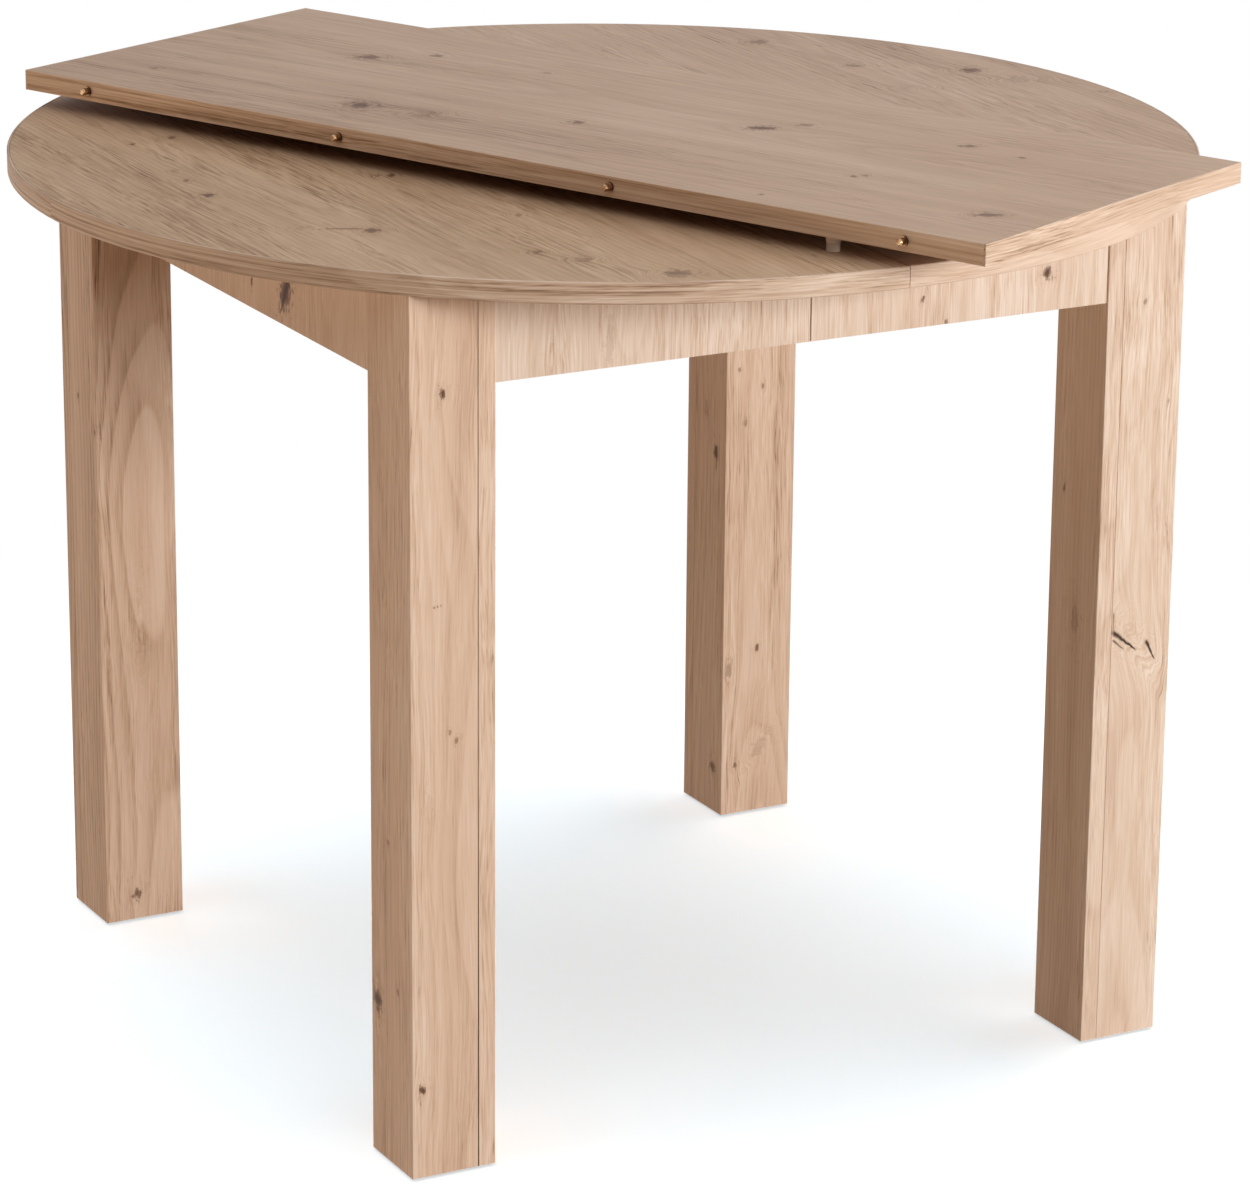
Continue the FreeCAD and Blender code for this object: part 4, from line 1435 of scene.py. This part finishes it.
@dataclass
class Runners:
    """The dovetailed extension runners: two grooved bars and a slide on each side."""

    shifts: Triple = (0.0, 1.7, 3.1)

    def build(self) -> None:
        """Dresses the bars and slides in beech."""
        for member, shift in zip(("left", "middle", "right"), self.shifts):
            beech = Beech(shift).material("beech_%s_runners" % member)
            dress(beech, "front_%s_runner" % member, "back_%s_runner" % member)


@dataclass
class TableLock:
    """The swinging lock under the seam."""

    plate: Metal = Metal((190, 193, 198), (150, 154, 160), rough=0.32, spangle=0.3)
    pin: Metal = Metal((205, 205, 204), (156, 154, 150), rough=0.24)
    knob: Plastic = Plastic((44, 40, 38), (78, 72, 68), rough=0.4)

    def build(self) -> None:
        """Dresses the plates, hook, posts, screws and knob."""
        plate, pin = self.plate.material("lock_plate"), self.pin.material("lock_steel")
        dress(plate, "lock_base_plate", "lock_keeper_plate", "lock_hook")
        dress(pin, "lock_pivot", "lock_keeper_stud", "lock_base_screws", "lock_keeper_screws")
        dress(self.knob.material("knob_plastic"), "lock_knob")


@dataclass(frozen=True)
class Lamp:
    """One broad soft lamp, turned towards a place on the table."""

    name: str
    power: float
    size: Pair
    at: Triple
    towards: Triple = (0.0, 0.0, 0.4)
    colour: Triple = (1.0, 1.0, 1.0)

    def hang(self, passes: bpy.types.Object) -> None:
        """Puts the lamp into the scene.

        Args:
            passes: an object that the lamp doesn't light.
        """
        data = bpy.data.lights.new(self.name, "AREA")
        data.shape = "RECTANGLE"
        data.size, data.size_y = self.size
        data.energy = self.power
        data.color = self.colour
        lamp = bpy.data.objects.new(self.name, data)
        lamp.location = self.at
        way = Vector(self.towards) - Vector(self.at)
        lamp.rotation_euler = way.to_track_quat("-Z", "Y").to_euler()
        bpy.context.scene.collection.objects.link(lamp)
        lit = bpy.data.collections.new(self.name + "_lit")
        lit.objects.link(passes)
        lit.collection_objects[0].light_linking.link_state = "EXCLUDE"
        lamp.light_linking.receiver_collection = lit


@dataclass
class Studio:
    """The pale floor, the soft light and the camera at the photograph's angle."""

    floor_half: float = 60.0
    floor_level: float = -0.0005
    floor_light: Triple = (0.405, 0.355, 0.333)
    floor_bounce: Triple = (0.78, 0.59, 0.44)
    shadow_edge: Pair = (1.5, 0.3)
    shadow_depth: float = 4.4
    feet_edge: Pair = (-0.02, 0.1)
    feet_share: float = 0.22
    overhead: Triple = (0.70, 0.71, 0.73)
    horizon: Triple = (0.60, 0.50, 0.42)
    warm_rise: Pair = (0.05, 0.85)
    dark_rise: Pair = (0.35, 0.65)
    key: Lamp = Lamp("key", power=166.0, size=(1.8, 1.2), at=(2.2, -3.8, 1.5))
    fill: Lamp = Lamp(
        "fill", power=37.0, size=(2.4, 0.5), at=(-4.5, 0.3, 0.35), colour=(1.0, 0.77, 0.55)
    )
    back: Lamp = Lamp(
        "back", power=60.0, size=(2.4, 0.5), at=(2.0, 4.6, 0.35), colour=(1.0, 0.9, 0.8)
    )
    camera_at: Triple = (-2.05506, -3.84217, 1.74151)
    camera_right: Triple = (0.88254, -0.47017, 0.00791)
    camera_up: Triple = (0.13489, 0.26923, 0.95358)
    focal_pixels: float = 5105.65
    picture_width: float = 1250.0
    film_width: float = 36.0
    sight: float = 200.0

    def build(self) -> None:
        """Sets up everything round the table."""
        floor = self.floor()
        self.world()
        for lamp in (self.key, self.fill, self.back):
            lamp.hang(floor)
        self.camera()
        bpy.context.scene.view_settings.view_transform = "Standard"

    def seen(self, recipe: Recipe) -> tuple[Socket, Socket]:
        """Tells the camera's rays and mirrored rays from the light's own.

        Args:
            recipe: the material's recipe.

        Returns:
            A number above zero on a camera's ray, and one on a mirrored ray.
        """
        path = recipe.node("LightPath").outputs
        mirrored = recipe.most(path["Is Glossy Ray"], path["Is Transmission Ray"])
        return path["Is Camera Ray"], mirrored

    def shadow_share(self, recipe: Recipe) -> Socket:
        """Finds how much of the shadow the floor keeps: less far off and beside the feet.

        Args:
            recipe: the floor's recipe.

        Returns:
            The share.
        """
        place = recipe.own_place()
        away = recipe.vector("LENGTH", recipe.vector("MULTIPLY", place, (1.0, 1.0, 0.0)))
        near = recipe.times(recipe.ease(away, *self.shadow_edge), self.shadow_depth)
        x, y, _ = recipe.split(recipe.vector("SUBTRACT", place, (0.0, MIDDLE_Y, 0.0)))
        off = (recipe.size(recipe.less(recipe.size(side), LEG_REACH)) for side in (x, y))
        edges = (LEG_WIDTH / 2 + reach for reach in self.feet_edge)
        clear = recipe.ease(recipe.most(*off), *edges)
        return recipe.times(near, recipe.share(clear, 1.0 - self.feet_share, self.feet_share))

    def floor_surface(self, recipe: Recipe) -> Socket:
        """Makes a floor that shows white less the table's shadow, and is open from below.

        Args:
            recipe: the floor's recipe.

        Returns:
            The shader.
        """
        share = self.shadow_share(recipe)
        shadow = recipe.join(share, share, share)
        full = recipe.vector("MULTIPLY", shadow, self.floor_light)
        glow = recipe.node("Emission", recipe.vector("SUBTRACT", (1.0, 1.0, 1.0), full))
        shaded = recipe.node("BsdfDiffuse", shadow)
        lit = recipe.node("AddShader", glow.outputs[0], shaded.outputs[0])
        bounce = recipe.node("BsdfDiffuse", (*self.floor_bounce, 1.0))
        by_camera, mirrored = self.seen(recipe)
        white = recipe.node("Emission")
        shader = recipe.either(mirrored, bounce.outputs[0], white.outputs[0])
        shader = recipe.either(by_camera, shader, lit.outputs[0])
        from_below = recipe.node("NewGeometry").outputs["Backfacing"]
        return recipe.either(from_below, shader, recipe.node("BsdfTransparent").outputs[0])

    def floor(self) -> bpy.types.Object:
        """Lays the floor.

        Returns:
            The floor.
        """
        half = self.floor_half
        mesh = bpy.data.meshes.new("floor")
        corners = ((-half, -half), (half, -half), (half, half), (-half, half))
        mesh.from_pydata([(x, y, self.floor_level) for x, y in corners], [], [(0, 1, 2, 3)])
        floor = bpy.data.objects.new("floor", mesh)
        bpy.context.scene.collection.objects.link(floor)
        material = bpy.data.materials.new("studio_floor")
        recipe = fresh_recipe(material)
        recipe.node("OutputMaterial", self.floor_surface(recipe))
        mesh.materials.append(material)
        return floor

    def world(self) -> None:
        """Lights the table from above, warmer towards the side, and shows white past the floor."""
        world = bpy.data.worlds.new("studio")
        recipe = fresh_recipe(world)
        rise = recipe.split(recipe.node("TexCoord").outputs["Generated"])[2]
        warm, cool = (*self.horizon, 1.0), (*self.overhead, 1.0)
        sky = recipe.blend(recipe.ease(rise, *self.warm_rise), warm, cool)
        sky = recipe.blend(recipe.ease(rise, *self.dark_rise), (0.0, 0.0, 0.0, 1.0), sky)
        around = recipe.node("Background", sky)
        white = recipe.node("Background", (1.0, 1.0, 1.0, 1.0), 1.0)
        shown = recipe.most(*self.seen(recipe))
        recipe.node("OutputWorld", recipe.either(shown, around.outputs[0], white.outputs[0]))
        bpy.context.scene.world = world

    def camera(self) -> None:
        """Stands the camera where the photograph was taken from."""
        data = bpy.data.cameras.new("camera")
        data.sensor_width = self.film_width
        data.lens = self.focal_pixels / self.picture_width * self.film_width
        data.clip_end = self.sight
        camera = bpy.data.objects.new("camera", data)
        right, up = Vector(self.camera_right).normalized(), Vector(self.camera_up)
        back = right.cross(up).normalized()
        up = back.cross(right)
        axes = Matrix((right, up, back)).transposed()
        camera.matrix_world = Matrix.Translation(self.camera_at) @ axes.to_4x4()
        bpy.context.scene.collection.objects.link(camera)
        bpy.context.scene.camera = camera


def main() -> None:
    """Builds every sub-assembly's looks, then the studio."""
    logging.basicConfig(level=logging.INFO, format="%(message)s")
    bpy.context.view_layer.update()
    looks = (RoundTop(), LooseLeaf(), BoxLegs(), ApronFrame(), Fittings(), Runners(), TableLock())
    for assembly in looks:
        assembly.build()
    Studio().build()


if __name__ == "__main__":
    main()
